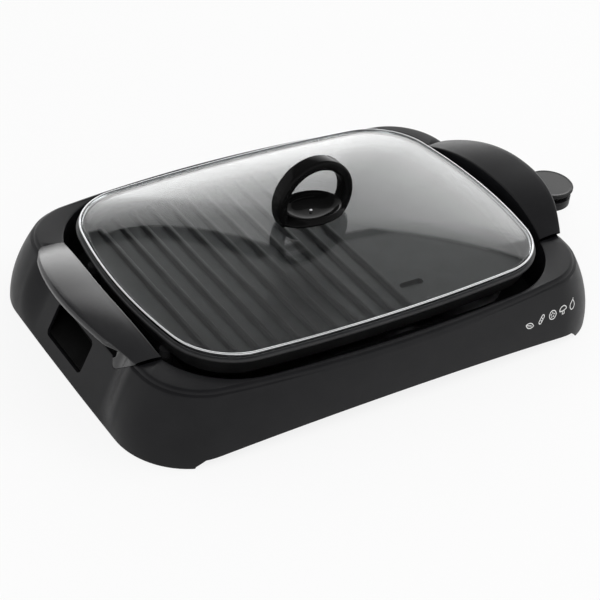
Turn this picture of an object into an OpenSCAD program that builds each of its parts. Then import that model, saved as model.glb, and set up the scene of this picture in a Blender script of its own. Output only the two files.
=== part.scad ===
// Electric table grill with a lift-off glass lid.
// Origin: on the table, in the middle of the grill's whole length, controller included.
// +X runs along the grill to the controller side, -Y is the front, +Z is up. Everything is in
// millimetres. The modules draw around the middle of the base, and placed() moves them from there.

/* [Lid] */
// Length of the lid over its steel band
lid_l = 410; // [380:5:430]
// Width of the lid over its steel band
lid_w = 290; // [270:5:300]
// Corner radius of the lid
lid_r = 64; // [50:2:76]
// Sheet thickness of the steel band
band_t = 0.8; // [0.6:0.1:1.2]
// How far the band's lips reach over the glass
band_lip = 4; // [3:0.5:6]
// Thickness of the glass
glass_t = 4; // [3:0.5:4.5]
// How far the glass rises from its edge to its middle
glass_rise = 17; // [8:1:22]

/* [Knob] */
// Radius of the knob's finger ring at the middle of its section
ring_r = 35; // [30:1:40]
// Thickness of the finger ring
ring_t = 10; // [8:0.5:12]
// Depth of the finger ring from front to back
ring_d = 16; // [12:1:20]
// Length of the dished saucer between the ring's legs
saucer_l = 62; // [56:1:66]
// Width of the saucer
saucer_w = 48; // [42:1:54]

/* [Body] */
// Gap between the lid's outline and the edge of the well
well_gap = 15; // [12:1:18]
// Corner radius of the well
well_r = 84; // [76:2:90]
// Width of the body's top rim at the two ends
rim_end = 24; // [22:1:28]
// Width of the body's top rim at the front and back
rim_side = 16; // [15:1:20]
// Height of the body's top rim
body_h = 72.7; // [70:0.5:76]
// How much longer the body is at its foot than at its rim, on each end
end_flare = 13.8; // [8:0.5:16]
// Corner radius of the rim's outer edge
rim_r = 60; // [54:2:66]
// Corner radius of the body's foot
foot_r = 57; // [50:1:64]
// How late the side walls lean in: 1 is straight
flare_curve = 2; // [1.4:0.2:3]
// Wall thickness of the moulded parts
wall = 3; // [2.4:0.2:3.4]
// Height of the arch under the front wall, at its middle
arch_mid = 18; // [14:1:20]
// Height of the arch beside the feet
arch_end = 9; // [6:1:10]
// Half length of the arch between the front feet
arch_half = 212; // [200:2:214]

/* [Handles] */
// Half length of each handle, from its middle to its seam
handle_half = 96; // [92:1:100]
// How far the handle's outer edge stands above the rim, at its middle
handle_rise = 21; // [15:0.5:22]
// How much lower the handle is on the side of the well
handle_tilt = 6; // [0:0.5:8]
// How far the handle reaches out beyond the rim's outer edge
handle_reach = 20; // [14:1:24]
// Width of the finger window under a handle
window_w = 68; // [56:2:72]
// Height of the finger window
window_h = 32; // [26:1:34]

/* [Grill plate] */
// Thickness of the plate's floor
floor_t = 6; // [5:0.5:7]
// Height of the cooking floor above the table
cook_z = 63; // [62:0.5:65]
// Distance between two ribs
rib_pitch = 20; // [16:1:24]
// Height of a rib
rib_h = 4; // [3:0.5:5]
// Width of a rib at its foot
rib_w = 8; // [6:0.5:10]
// Length of the grease slot
slot_l = 26; // [20:1:34]

/* [Heating] */
// Radius of the heating element's tube
element_r = 3.2; // [3:0.1:3.6]
// Radius of a contact pin
pin_r = 2.4; // [2:0.1:2.8]
// Radius of the temperature probe
probe_r = 3; // [2.5:0.1:3.4]
// Distance of a contact pin from the middle
pin_y = 14; // [13:0.5:15]

/* [Controller] */
// Radius of the dial
dial_r = 25.6; // [22:0.2:28]
// Height of the dial
dial_h = 10.2; // [9:0.2:11]
// Distance of the dial's axis from the middle of the grill
dial_x = 303; // [300:1:312]
// Width of the controller's neck
neck_w = 44; // [42:1:46]
// Number of grip grooves around the dial
grip_count = 30; // [20:2:40]

/* [Tray] */
// Length of the drip tray
tray_l = 350; // [330:5:352]
// Width of the drip tray
tray_w = 236; // [220:2:240]
// Height of the drip tray
tray_h = 17; // [14:1:18]

/* [Fits] */
// Gap between moulded parts that sit against each other
gap = 0.2; // [0.15:0.05:0.3]
// Radial clearance of a pin, shaft or screw in its bore
fit = 0.05; // [0.03:0.01:0.09]

/* [Hidden] */

$fn = 48;

// Facets of the bowed outlines: along half an end, round a corner, along half a side
N_END = 9;
N_CORNER = 8;
N_SIDE = 5;

// Bow radii of the outlines: the larger, the straighter
LID_SIDE_BOW = 1695;
LID_END_BOW = 469;
RIM_SIDE_BOW = 1111;
RIM_END_BOW = 671;
FOOT_SIDE_BOW = 4400;
FOOT_END_BOW = 6000;

// Half sizes of the lid, the well and the body
lid_a = lid_l / 2;
lid_b = lid_w / 2;
well_a = lid_a + well_gap;
well_b = lid_b + well_gap;
rim_a = well_a + rim_end;
rim_b = well_b + rim_side;
foot_a = rim_a + end_flare;
foot_b = rim_b;
RIM_DIP = 3;               // the rim falls this much towards the well
rim_in_z = body_h - RIM_DIP;
HOUSING_Z = 1.2;           // the shell's lower edge, above the table
WELL_T = 2.5;              // wall of the well
WELL_FOOT = 38;            // lower end of the housing's well wall

// Recess under the handles: a sloping face, faded out towards the seams
RECESS_SLOPE = 0.45;
RECESS_FADE = 24;
SEAT_Z = 52;               // ledge that the handles sit on
LEDGE_T = 3;
HOOK_Z = 42;               // lowest point of the seam at the handle's hooks
HOOK_Y = 60;               // distance of that point from the middle
HOOK_W = 7;
HANDLE_ARCH = 2.5;         // power of the handle's arch: the larger, the flatter its top
HOLD_END = 82;             // the finger space under a handle ends this far from its middle
HOLD_FADE = 12;
HOLD_WALL = 5.5;           // wall between the finger space and the well
HANDLE_T = 4.5;            // thickness of the handle over the finger space
FLOOR_T = 3;               // floor of the finger space beside the hooks
LIP_H = 9;                 // depth of the lip along the handle's outer edge
PASSAGE_W = 60;            // passage for the controller
PASSAGE_Z = 27;
PASSAGE_TOP = 69;          // free height of the passage in the right handle
WINDOW_Z = 13.5;
WINDOW_Y = 12;

// Base pan, screws and feet
PAN_Z = 12;
PAN_T = 2.5;
BOSS_R = 3.8;
SCREW_R = 1.45;
HEAD_R = 3.3;
HEAD_H = 2.6;
HEAD_CROSS = 4;            // length of the cross recess in a screw's head
HEAD_CROSS_W = 0.8;
SCREW_HOLE = 0.4;          // radial clearance of a screw in the part that it only passes through
BASE_SCREW_X = 120;
BASE_SCREW_L = 20;
HANDLE_SCREW_Y = 87;
HANDLE_SCREW_L = 12;
POST_R = 9;
FOOT_RUBBER_R = 11;
FOOT_RUBBER_H = 3.2;
STEM_R = 4;
STEM_H = 12;
PILLAR_R = 7;
CUT = 60;                  // length of a cutter that goes right through
PILLAR_X = well_a - 28;
PILLAR_Y = 70;

// Grill plate
plate_a = lid_a + 2.5;
plate_b = lid_b + 2.5;
BAND_Z = 79.6;             // lower edge of the lid's band
FLANGE_Z = BAND_Z - gap;   // top of the plate's flange
plate_foot_z = cook_z - floor_t;
SLOT_X = 58;
SLOT_Y = -92;
SLOT_W = 8;
RIB_FROM = -165;
RIB_TO = 40;
PLATE_REST = 50;           // where the plate stands on the pan's pillars

// Heating element: a loop under the plate whose ends turn to the controller
LOOP_L = 290;
LOOP_W = 176;
LOOP_R = 40;
LEAD_R = 10;
ELEMENT_Z = 52.5;
BEAD_W = 12;
PIN_Z = 46;
lead_x = LOOP_L / 2;
SHROUD_X0 = 184;
SHROUD_X1 = 214;
SHROUD_W = 50;
SHROUD_H = 22;
SHROUD_SCREW_Y = 18.7;
SHROUD_SCREW_X = 8;        // from the socket's mouth
PROBE_TIP = 138;
PROBE_BOSS_R = 7;
PROBE_BOSS_L = 38;

// Controller
NECK_X0 = 217;
NECK_TOP = 57;
NECK_Z = 37;
dial_z = NECK_TOP + 0.5 - dial_h;   // underside of the dial
deck_z = dial_z - 0.3;              // deck under the dial
SPLIT_Z = 44.4;
HEAD_INSET = 1.2;
GLAND_X = 262;
GLAND_Z = 43.5;
SHAFT_R = 3;
DIAL_RIM = 3.6;            // height of the dial's plain rim above its grip
DIAL_TAPER = 5;            // the grip narrows this much towards the dial's foot
SLEEVE_R = 4.2;
CONTROLLER_POST_R = 3.4;
SMALL_HEAD_R = 2.6;
SMALL_HEAD_H = 1.2;

// Drip tray
TRAY_Z = PAN_Z + PAN_T + gap;
TRAY_T = 1.2;
TRAY_R = 45;

// Lid
BAND_EDGE = 1;             // the glass starts this far inside the band
glass_z = BAND_Z + band_t + gap / 2;
glass_top_mid = glass_z + glass_t + glass_rise;
ring_z = glass_top_mid + 24;        // height of the ring's centre above the table
SAUCER_Z = glass_top_mid + 12.4;
KNOB_BORE = 2.6;
KNOB_SCREW_L = 12;
KNOB_SCREW_HEAD_H = 2.4;
DOME_POWER = 2.6;

// Middle of the whole length, from the left handle's edge to the dial's edge
origin_x = (dial_x + dial_r - rim_a - handle_reach) / 2;

function mix(a, b, s) = a + (b - a) * s;
function clamp(v) = max(0, min(1, v));
function smooth(v) = let (t = clamp(v)) t * t * (3 - 2 * t);

// ---- Bowed rectangles: four shallow arcs joined by corner arcs ----

// Centre of the corner arc that touches both shallow arcs
function corner_centre(a, b, r, side_bow, end_bow) =
    let (c1 = [0, b - side_bow], c2 = [a - end_bow, 0],
         r1 = side_bow - r, r2 = end_bow - r,
         len = norm(c2 - c1), u = (c2 - c1) / len,
         t = (r1 * r1 - r2 * r2 + len * len) / (2 * len),
         h = sqrt(r1 * r1 - t * t))
    c1 + u * t + [u.y, -u.x] * h;

function arc(c, r, from, to, n, first = 0) =
    [for (i = [first : n]) let (w = mix(from, to, i / n)) c + r * [cos(w), sin(w)]];

// One quarter of the outline, from the middle of the end to the middle of the side
function quarter(a, b, r, side_bow, end_bow) =
    let (c = corner_centre(a, b, r, side_bow, end_bow),
         c1 = [0, b - side_bow], c2 = [a - end_bow, 0],
         w2 = atan2(c.y, c.x - c2.x), w1 = atan2(c.y - c1.y, c.x))
    concat(arc(c2, end_bow, 0, w2, N_END), arc(c, r, w2, w1, N_CORNER, 1),
           arc(c1, side_bow, w1, 90, N_SIDE, 1));

function whole(q) =
    let (n = len(q))
    concat(q, [for (i = [n - 2 : -1 : 0]) [-q[i].x, q[i].y]],
           [for (i = [1 : n - 1]) [-q[i].x, -q[i].y]],
           [for (i = [n - 2 : -1 : 1]) [q[i].x, -q[i].y]]);

// The lid's family of outlines, moved outward by o: lid, plate and well share them
function lid_outline(o) =
    whole(quarter(lid_a + o, lid_b + o, lid_r + o, LID_SIDE_BOW + o, LID_END_BOW + o));
function well_quarter(o) =
    quarter(well_a + o, well_b + o, well_r + o, LID_SIDE_BOW + o, LID_END_BOW + o);

// The body's skin at height z, moved inward by o
function body_quarter(z, o = 0) =
    let (s = pow(clamp(z / body_h), flare_curve))
    quarter(mix(foot_a, rim_a, s) - o, mix(foot_b, rim_b, s) - o, mix(foot_r, rim_r, s) - o,
            1 / mix(1 / FOOT_SIDE_BOW, 1 / RIM_SIDE_BOW, s) - o,
            1 / mix(1 / FOOT_END_BOW, 1 / RIM_END_BOW, s) - o);

// The sloping face under the handles
function facet_x(z) = foot_a - RECESS_SLOPE * (z - 1);
function recess_depth(x, y, z) =
    smooth((handle_half - abs(y)) / RECESS_FADE) * max(0, abs(x) - facet_x(z));

function recessed(p, z, o = 0) =
    let (d = recess_depth(abs(p.x) + o, p.y, z))
    abs(p.y) < handle_half && abs(p.x) > well_a * 0.9 ? [p.x - sign(p.x) * d, p.y] : p;

function body_ring(z, o = 0) = [for (p = whole(body_quarter(z, o))) recessed(p, z, o)];

// X of an outline quarter at a given y, and of the body's skin at y and z
function x_at(q, y) = lookup(abs(y), [for (p = q) [p.y, p.x]]);
function skin_x(y, z) = let (x = x_at(body_quarter(z), y)) x - recess_depth(x, y, z);

function lift(ring, z) = [for (p = ring) [p.x, p.y, z]];

// Skin stretched over rings with equal point counts; closed joins the last ring to the first
module loft(rings, closed = false) {
    n = len(rings[0]);
    m = len(rings);
    last = closed ? m - 1 : m - 2;
    sides = [for (i = [0 : last], j = [0 : n - 1])
        let (k = (i + 1) % m, l = (j + 1) % n)
        each [[i * n + j, k * n + j, k * n + l], [i * n + j, k * n + l, i * n + l]]];
    caps = closed ? [] : [[for (j = [0 : n - 1]) j], [for (j = [n - 1 : -1 : 0]) (m - 1) * n + j]];
    polyhedron([for (ring = rings) each ring], concat(sides, caps), convexity = 8);
}

module ring_wall(outer, inner, z, h) {
    translate([0, 0, z]) linear_extrude(h) difference() {
        polygon(outer);
        polygon(inner);
    }
}

module rounded(l, w, r) {
    square([l - 2 * r, w], center = true);
    square([l, w - 2 * r], center = true);
    for (x = [-1, 1], y = [-1, 1]) translate([x * (l / 2 - r), y * (w / 2 - r)]) circle(r);
}

// A profile drawn in Y and Z, extruded along X from x0 to x1
module along_x(x0, x1) {
    translate([x0, 0, 0]) rotate([90, 0, 90]) linear_extrude(x1 - x0) children();
}

// A profile drawn in X and Z, extruded along Y between -w and w
module along_y(w) {
    translate([0, w, 0]) rotate([90, 0, 0]) linear_extrude(2 * w) children();
}

module both_ends() {
    children();
    mirror([1, 0, 0]) children();
}

module four_corners(x, y) {
    for (sx = [-1, 1], sy = [-1, 1]) translate([sx * x, sy * y, 0]) children();
}

// ---- Base ----

function boss_y(x) =
    let (well = lookup(x, [for (i = [len(well_quarter(0)) - 1 : -1 : 0]) well_quarter(0)[i]]),
         skin = lookup(x, [for (i = [len(body_quarter(body_h)) - 1 : -1 : 0]) body_quarter(body_h)[i]]))
    (well + WELL_T + skin - wall) / 2;

module at_base_screws() {
    for (x = [-BASE_SCREW_X, BASE_SCREW_X], s = [-1, 1])
        translate([x, s * boss_y(abs(x)), 0]) children();
}

// The feet stand in the hollow corners between the well and the skin
foot_x = rim_a - 40;
foot_y = rim_b - 39;
module at_feet() {
    four_corners(foot_x, foot_y) children();
}

handle_screw_x = x_at(well_quarter(0), HANDLE_SCREW_Y) + 8;
module at_handle_screws() {
    four_corners(handle_screw_x, HANDLE_SCREW_Y) children();
}

module housing_shell() {
    skin = [HOUSING_Z, 10, 20, 30, 40, 50, 58, 65, body_h - 2.2];
    inside = [67, 58, 46, 34, 22, 11, HOUSING_Z];
    loft(concat(
        [for (z = skin) lift(body_ring(z), z)],
        [lift(body_ring(body_h, 0.5), body_h - 0.8), lift(body_ring(body_h, 1.8), body_h)],
        [lift(whole(well_quarter(1.8)), rim_in_z + 0.1), lift(whole(well_quarter(0.5)), rim_in_z - 0.3),
         lift(whole(well_quarter(0)), rim_in_z - 1.4), lift(whole(well_quarter(0)), WELL_FOOT),
         lift(whole(well_quarter(WELL_T)), WELL_FOOT), lift(whole(well_quarter(WELL_T)), rim_in_z - wall)],
        [for (z = inside) lift(body_ring(z, wall), z)]), closed = true);
}

// Seam between a handle and the body, drawn in Y and Z: it dips to a hook on each side
module seam_profile(c = 0) {
    side = [[handle_half - c, 100], [handle_half - c, body_h + 1.5], [HOOK_Y, HOOK_Z + c],
            [HOOK_Y - HOOK_W, SEAT_Z + c]];
    polygon(concat(side, [for (i = [3 : -1 : 0]) [-side[i].x, side[i].y]]));
}

function seat_x() = facet_x(SEAT_Z) - 2.5;

module seat_profile(c = 0) {
    translate([c - handle_half, SEAT_Z + c]) square([2 * (handle_half - c), CUT]);
}

// Space that belongs to the right-hand handle: over the seat, and in front of it above the seam
module handle_space(c = 0) {
    along_x(well_a - 40, seat_x() - c) seat_profile(c);
    along_x(well_a - 40, well_a + 70) intersection() {
        seat_profile(c);
        seam_profile(c);
    }
    along_x(seat_x() + c, well_a + 70) seam_profile(c);
}

module ledge() {
    translate([0, 0, SEAT_Z - LEDGE_T]) linear_extrude(LEDGE_T) intersection() {
        polygon(concat([for (y = [1 - handle_half : 8 : handle_half]) [x_at(well_quarter(0), y) + 1, y]],
                       [[seat_x(), handle_half], [seat_x(), -handle_half]]));
        translate([well_a - 20, 1 - handle_half]) square([60, 2 * handle_half - 2]);
    }
    // The middle of the ledge meets the sloping wall
    translate([seat_x() - 3, 1 + HOOK_W - HOOK_Y, SEAT_Z - LEDGE_T])
        cube([4, 2 * (HOOK_Y - HOOK_W) - 2, LEDGE_T]);
}

module front_arch() {
    rise = arch_mid - arch_end;
    half = arch_half - 8;
    points = [for (i = [-10 : 10]) let (x = half * i / 10) [x, arch_end + rise * (1 - i * i / 100)]];
    polygon(concat([[-arch_half - 2, -1], [-arch_half, HOUSING_Z + 2]], points,
                   [[arch_half, HOUSING_Z + 2], [arch_half + 2, -1]]));
}

module base_housing() {
    color([0.07, 0.07, 0.075]) difference() {
        union() {
            difference() {
                housing_shell();
                both_ends() handle_space();
            }
            both_ends() ledge();
            at_base_screws() translate([0, 0, PAN_Z + 3 + gap])
                cylinder(r = BOSS_R, h = rim_in_z - wall - PAN_Z);
            at_feet() translate([0, 0, FOOT_RUBBER_H + gap]) cylinder(r = POST_R, h = rim_in_z - 5);
        }
        along_y(rim_b * 2) front_arch();
        // Finger window on the left, passage for the controller on the right
        translate([0, WINDOW_Y, WINDOW_Z + window_h / 2]) along_x(-foot_a - 5, -well_a - 7)
            rounded(window_w, window_h, 5);
        along_x(well_a - 20, foot_a + 5) translate([-PASSAGE_W / 2, PASSAGE_Z])
            square([PASSAGE_W, PASSAGE_TOP - PASSAGE_Z]);
        at_base_screws() cylinder(r = SCREW_R + fit, h = PAN_Z + BASE_SCREW_L + 2);
        at_feet() cylinder(r = STEM_R + fit, h = STEM_H + 2);
        at_handle_screws() translate([0, 0, SEAT_Z - CUT / 4]) cylinder(r = SCREW_R + SCREW_HOLE, h = CUT / 2);
    }
}

// Height of the handle's top at y, where it is end_z high at the seams and top_z in the middle
function handle_z(y, end_z, top_z) = mix(end_z, top_z, 1 - pow(abs(y) / handle_half, HANDLE_ARCH));
function handle_x(y) =
    let (end_x = x_at(body_quarter(body_h), handle_half) + 1.5,
         sag = rim_a + handle_reach - end_x,
         r = (handle_half * handle_half + sag * sag) / (2 * sag))
    rim_a + handle_reach - r + sqrt(r * r - y * y);

// Section of the right-hand handle at y: bridge and lip over the finger space, then the skin.
// Towards the seams the lip fades into the skin (e) and the finger space closes (k).
function handle_section(y, c) =
    let (xi = x_at(well_quarter(0), y), xo = handle_x(y), top = body_h + handle_rise,
         zi = handle_z(y, rim_in_z + 0.8, top - handle_tilt), zo = handle_z(y, body_h + 0.6, top),
         e = smooth((abs(y) - handle_half + RECESS_FADE) / RECESS_FADE),
         k = smooth((HOLD_END - abs(y)) / HOLD_FADE),
         floor_z = SEAT_Z + mix(FLOOR_T, -2, smooth((HOOK_Y - abs(y)) / HOOK_W)),
         foot_z = floor_z - FLOOR_T + c, under = zo - LIP_H,
         lip = [[0, 4], [0.6, 7.5], [2.6, LIP_H]],
         hold = [[xo - 4, zo - HANDLE_T - 1, under - 1], [xi + HOLD_WALL, zi - HANDLE_T, under - 2],
                 [xi + HOLD_WALL, floor_z + 0.5, floor_z + 0.5]])
    concat([[xi, y, foot_z], [xi, y, zi - 1.4], [xi + 0.4, y, zi - 0.4], [xi + 1.6, y, zi]],
           [for (s = [0.33, 0.67]) [mix(xi, xo, s), y, mix(zi, zo, s) + 0.7]],
           [[xo - 3.2, y, zo], [xo - 0.9, y, zo - 1.2]],
           [for (p = lip) [mix(xo - p.x, skin_x(y, zo - p.y), e), y, zo - p.y]],
           [for (p = hold) [mix(skin_x(y, p.z), p.x, k), y, mix(p.z, p.y, k)]],
           [for (z = [floor_z, floor_z - 2, HOOK_Z - 2]) [skin_x(y, z), y, z]],
           [[skin_x(y, HOOK_Z - 2) - wall, y, HOOK_Z - 2], [skin_x(y, foot_z) - wall, y, foot_z]]);

module handle_body() {
    steps = 30;
    difference() {
        intersection() {
            loft([for (i = [0 : steps]) handle_section(mix(gap - handle_half, handle_half - gap, i / steps), gap)]);
            handle_space(gap);
        }
        for (s = [-1, 1]) translate([handle_screw_x, s * HANDLE_SCREW_Y, 0]) cylinder(r = SCREW_R + fit, h = SEAT_Z + 10);
    }
}

module left_handle() {
    color([0.16, 0.16, 0.17]) mirror([1, 0, 0]) handle_body();
}

module right_handle() {
    color([0.1, 0.1, 0.105]) difference() {
        handle_body();
        along_x(well_a - 20, foot_a + 20) translate([-PASSAGE_W / 2, SEAT_Z - 30])
            square([PASSAGE_W, PASSAGE_TOP - SEAT_Z + 30]);
    }
}

// Pan-head screw that points up, with its head under z
module screw_up(z, length) {
    translate([0, 0, z]) {
        cylinder(r = SCREW_R, h = length);
        difference() {
            translate([0, 0, -HEAD_H]) cylinder(r1 = HEAD_R - 0.5, r2 = HEAD_R, h = HEAD_H);
            translate([0, 0, 1 - HEAD_H - HEAD_CROSS / 2]) {
                cube([HEAD_CROSS_W, HEAD_CROSS, HEAD_CROSS], center = true);
                cube([HEAD_CROSS, HEAD_CROSS_W, HEAD_CROSS], center = true);
            }
        }
    }
}

module handle_screws() {
    color([0.6, 0.6, 0.62]) at_handle_screws() screw_up(SEAT_Z - LEDGE_T - gap, HANDLE_SCREW_L);
}

module base_screws() {
    color([0.6, 0.6, 0.62]) at_base_screws() screw_up(PAN_Z - gap, BASE_SCREW_L);
}

module rubber_feet() {
    color([0.05, 0.05, 0.05]) at_feet() {
        cylinder(r = FOOT_RUBBER_R, h = FOOT_RUBBER_H);
        cylinder(r = STEM_R, h = STEM_H);
    }
}

module base_pan() {
    color([0.13, 0.13, 0.14]) difference() {
        union() {
            ring_wall(whole(well_quarter(WELL_T)), whole(well_quarter(0)), PAN_Z, WELL_FOOT - gap - PAN_Z);
            translate([0, 0, PAN_Z]) linear_extrude(PAN_T) {
                polygon(whole(well_quarter(1)));
                // The pan closes the base under the handles
                intersection() {
                    polygon(body_ring(PAN_Z + PAN_T, wall + 3 * gap));
                    square([2 * foot_a, 2 * handle_half - 12], center = true);
                }
            }
            at_base_screws() translate([0, 0, PAN_Z + 1.5]) cube([12, 12, 3], center = true);
            four_corners(PILLAR_X, PILLAR_Y) translate([0, 0, PAN_Z + 1])
                cylinder(r = PILLAR_R, h = PLATE_REST - PAN_Z - 1);
        }
        at_base_screws() cylinder(r = SCREW_R + SCREW_HOLE, h = CUT / 2);
        along_x(well_a - CUT / 2, well_a + CUT / 2) translate([-PASSAGE_W / 2, PASSAGE_Z])
            square([PASSAGE_W, WELL_FOOT]);
    }
}

module drip_tray() {
    color([0.55, 0.56, 0.58]) {
        translate([0, 0, TRAY_Z]) linear_extrude(TRAY_T) rounded(tray_l - 8, tray_w - 8, TRAY_R - 4);
        translate([0, 0, TRAY_Z]) linear_extrude(tray_h) difference() {
            rounded(tray_l - 6, tray_w - 6, TRAY_R - 3);
            rounded(tray_l - 6 - 2 * TRAY_T, tray_w - 6 - 2 * TRAY_T, TRAY_R - 3 - TRAY_T);
        }
        translate([0, 0, TRAY_Z + tray_h - TRAY_T]) linear_extrude(TRAY_T) difference() {
            rounded(tray_l, tray_w, TRAY_R);
            rounded(tray_l - 7, tray_w - 7, TRAY_R - 3.5);
        }
    }
}

// ---- Grill plate and heating ----

module element_path_2d(w) {
    difference() {
        rounded(LOOP_L + w, LOOP_W + w, LOOP_R + w / 2);
        rounded(LOOP_L - w, LOOP_W - w, LOOP_R - w / 2);
        translate([lead_x - LOOP_R, -(pin_y + LEAD_R)]) square([2 * LOOP_R, 2 * (pin_y + LEAD_R)]);
    }
}

// Half the rib's length at x: the ribs stop short of the plate's wall
function rib_half(x) =
    lookup(abs(x), [for (q = [quarter(plate_a - 12, plate_b - 12, lid_r - 12, LID_SIDE_BOW, LID_END_BOW)],
                         i = [len(q) - 1 : -1 : 0]) q[i]]) - 4;

module rib(x) {
    half = rib_half(x);
    translate([x, 0, cook_z - 0.5]) rotate([90, 0, 0]) translate([0, 0, -half]) linear_extrude(2 * half)
        polygon([[-rib_w / 2, 0], [rib_w / 2, 0], [rib_w / 2 - 1.6, rib_h * 0.7], [1.2, rib_h + 0.5],
                 [-1.2, rib_h + 0.5], [1.6 - rib_w / 2, rib_h * 0.7]]);
}

module grill_plate() {
    profile = [[-11.5, plate_foot_z], [-8.5, plate_foot_z + 2.5], [-2.6, FLANGE_Z - 4], [0, FLANGE_Z - 2.6],
               [0, FLANGE_Z - 0.6], [-0.6, FLANGE_Z], [-4.6, FLANGE_Z], [-5.4, FLANGE_Z - 0.8],
               [-11, cook_z + 2.5], [-14, cook_z]];
    color([0.11, 0.11, 0.115]) difference() {
        union() {
            loft([for (p = profile) lift(lid_outline(plate_a - lid_a + p.x), p.y)]);
            for (x = [RIB_FROM : rib_pitch : RIB_TO]) rib(x);
            translate([0, 0, PLATE_REST + 0.5]) linear_extrude(plate_foot_z - PLATE_REST) element_path_2d(BEAD_W);
            four_corners(PILLAR_X, PILLAR_Y) translate([0, 0, PLATE_REST + gap])
                cylinder(r = PILLAR_R - 1.5, h = plate_foot_z - PLATE_REST + 1);
            // Boss that takes the temperature probe
            translate([PROBE_TIP - 6, 0, PIN_Z]) rotate([0, 90, 0]) cylinder(r = PROBE_BOSS_R, h = PROBE_BOSS_L);
            translate([PROBE_TIP - 6, -PROBE_BOSS_R, PIN_Z])
                cube([PROBE_BOSS_L, 2 * PROBE_BOSS_R, plate_foot_z - PIN_Z + 1]);
        }
        translate([0, 0, PLATE_REST]) linear_extrude(ELEMENT_Z + element_r + fit - PLATE_REST)
            element_path_2d(2 * element_r + 2 * fit);
        translate([PROBE_TIP - 2, 0, PIN_Z]) rotate([0, 90, 0]) cylinder(r = probe_r + fit, h = CUT);
        translate([SLOT_X, SLOT_Y, plate_foot_z - 1]) linear_extrude(floor_t + 3) rounded(slot_l, SLOT_W, SLOT_W / 2 - 0.1);
    }
}

module heating_element() {
    straight_x = LOOP_L / 2 - LOOP_R;
    straight_y = LOOP_W / 2 - LOOP_R;
    gap_y = pin_y + LEAD_R;
    color([0.35, 0.33, 0.32]) translate([0, 0, ELEMENT_Z]) {
        for (s = [-1, 1]) {
            translate([-straight_x, s * LOOP_W / 2, 0]) rotate([0, 90, 0]) cylinder(r = element_r, h = 2 * straight_x);
            // Corners, the short run to the middle and the lead that turns out to the terminal
            translate([straight_x, s * straight_y, 0]) rotate([0, 0, s > 0 ? 0 : -90])
                rotate_extrude(angle = 90) translate([LOOP_R, 0]) circle(element_r);
            translate([-straight_x, s * straight_y, 0]) rotate([0, 0, s > 0 ? 90 : 180])
                rotate_extrude(angle = 90) translate([LOOP_R, 0]) circle(element_r);
            translate([lead_x, s > 0 ? gap_y : -straight_y, 0]) rotate([-90, 0, 0])
                cylinder(r = element_r, h = straight_y - gap_y);
            translate([lead_x + LEAD_R, s * gap_y, 0]) rotate([0, 0, s > 0 ? 180 : 90])
                rotate_extrude(angle = 90) translate([LEAD_R, 0]) circle(element_r);
            translate([lead_x + LEAD_R, s * pin_y, 0]) rotate([0, 90, 0])
                cylinder(r = element_r, h = SHROUD_X0 - lead_x - LEAD_R - 2);
        }
        translate([-LOOP_L / 2, -straight_y, 0]) rotate([-90, 0, 0]) cylinder(r = element_r, h = 2 * straight_y);
    }
}

module element_terminals() {
    color([0.75, 0.72, 0.6]) for (s = [-1, 1]) translate([0, s * pin_y, 0]) {
        // Lug from the element's end down to the contact pin
        translate([SHROUD_X0 - 2 + gap, -3, PIN_Z - 3]) cube([2 - 2 * gap, 6, ELEMENT_Z - PIN_Z + 6]);
        translate([SHROUD_X0 - 1, 0, PIN_Z]) rotate([0, 90, 0]) cylinder(r = pin_r, h = SHROUD_X1 - SHROUD_X0 - 3);
    }
}

module socket_shroud() {
    z0 = PIN_Z - SHROUD_H / 2;
    color([0.1, 0.1, 0.11]) difference() {
        translate([SHROUD_X0, -SHROUD_W / 2, z0]) cube([SHROUD_X1 - SHROUD_X0, SHROUD_W, plate_foot_z - gap - z0]);
        translate([SHROUD_X0 + wall, wall - SHROUD_W / 2, z0 + wall])
            cube([SHROUD_X1 - SHROUD_X0, SHROUD_W - 2 * wall, SHROUD_H - 2 * wall]);
        for (s = [-1, 1]) translate([SHROUD_X0 - 1, s * pin_y, PIN_Z]) rotate([0, 90, 0])
            cylinder(r = pin_r + fit, h = wall + 2);
        translate([SHROUD_X0 - 1, 0, PIN_Z]) rotate([0, 90, 0]) cylinder(r = probe_r + 0.4, h = wall + 2);
        at_shroud_screws() cylinder(r = SCREW_R + SCREW_HOLE, h = CUT / 3);
    }
}

module at_shroud_screws() {
    for (s = [-1, 1])
        translate([SHROUD_X1 - SHROUD_SCREW_X, s * SHROUD_SCREW_Y, PIN_Z + SHROUD_H / 2 - wall]) children();
}

module shroud_screws() {
    color([0.6, 0.6, 0.62]) at_shroud_screws() translate([0, 0, -gap]) {
        cylinder(r = SCREW_R, h = plate_foot_z - PIN_Z - SHROUD_H / 2 + wall + gap - 0.5);
        translate([0, 0, -SMALL_HEAD_H]) cylinder(r = SMALL_HEAD_R, h = SMALL_HEAD_H);
    }
}

// ---- Controller ----

// Plan of the controller: neck with a round head, drawn inward by o
module controller_plan(o = 0) {
    translate([NECK_X0 + o, o - neck_w / 2]) square([dial_x - NECK_X0 - o, neck_w - 2 * o]);
    translate([dial_x, 0]) circle(dial_r - HEAD_INSET - o);
}

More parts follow.
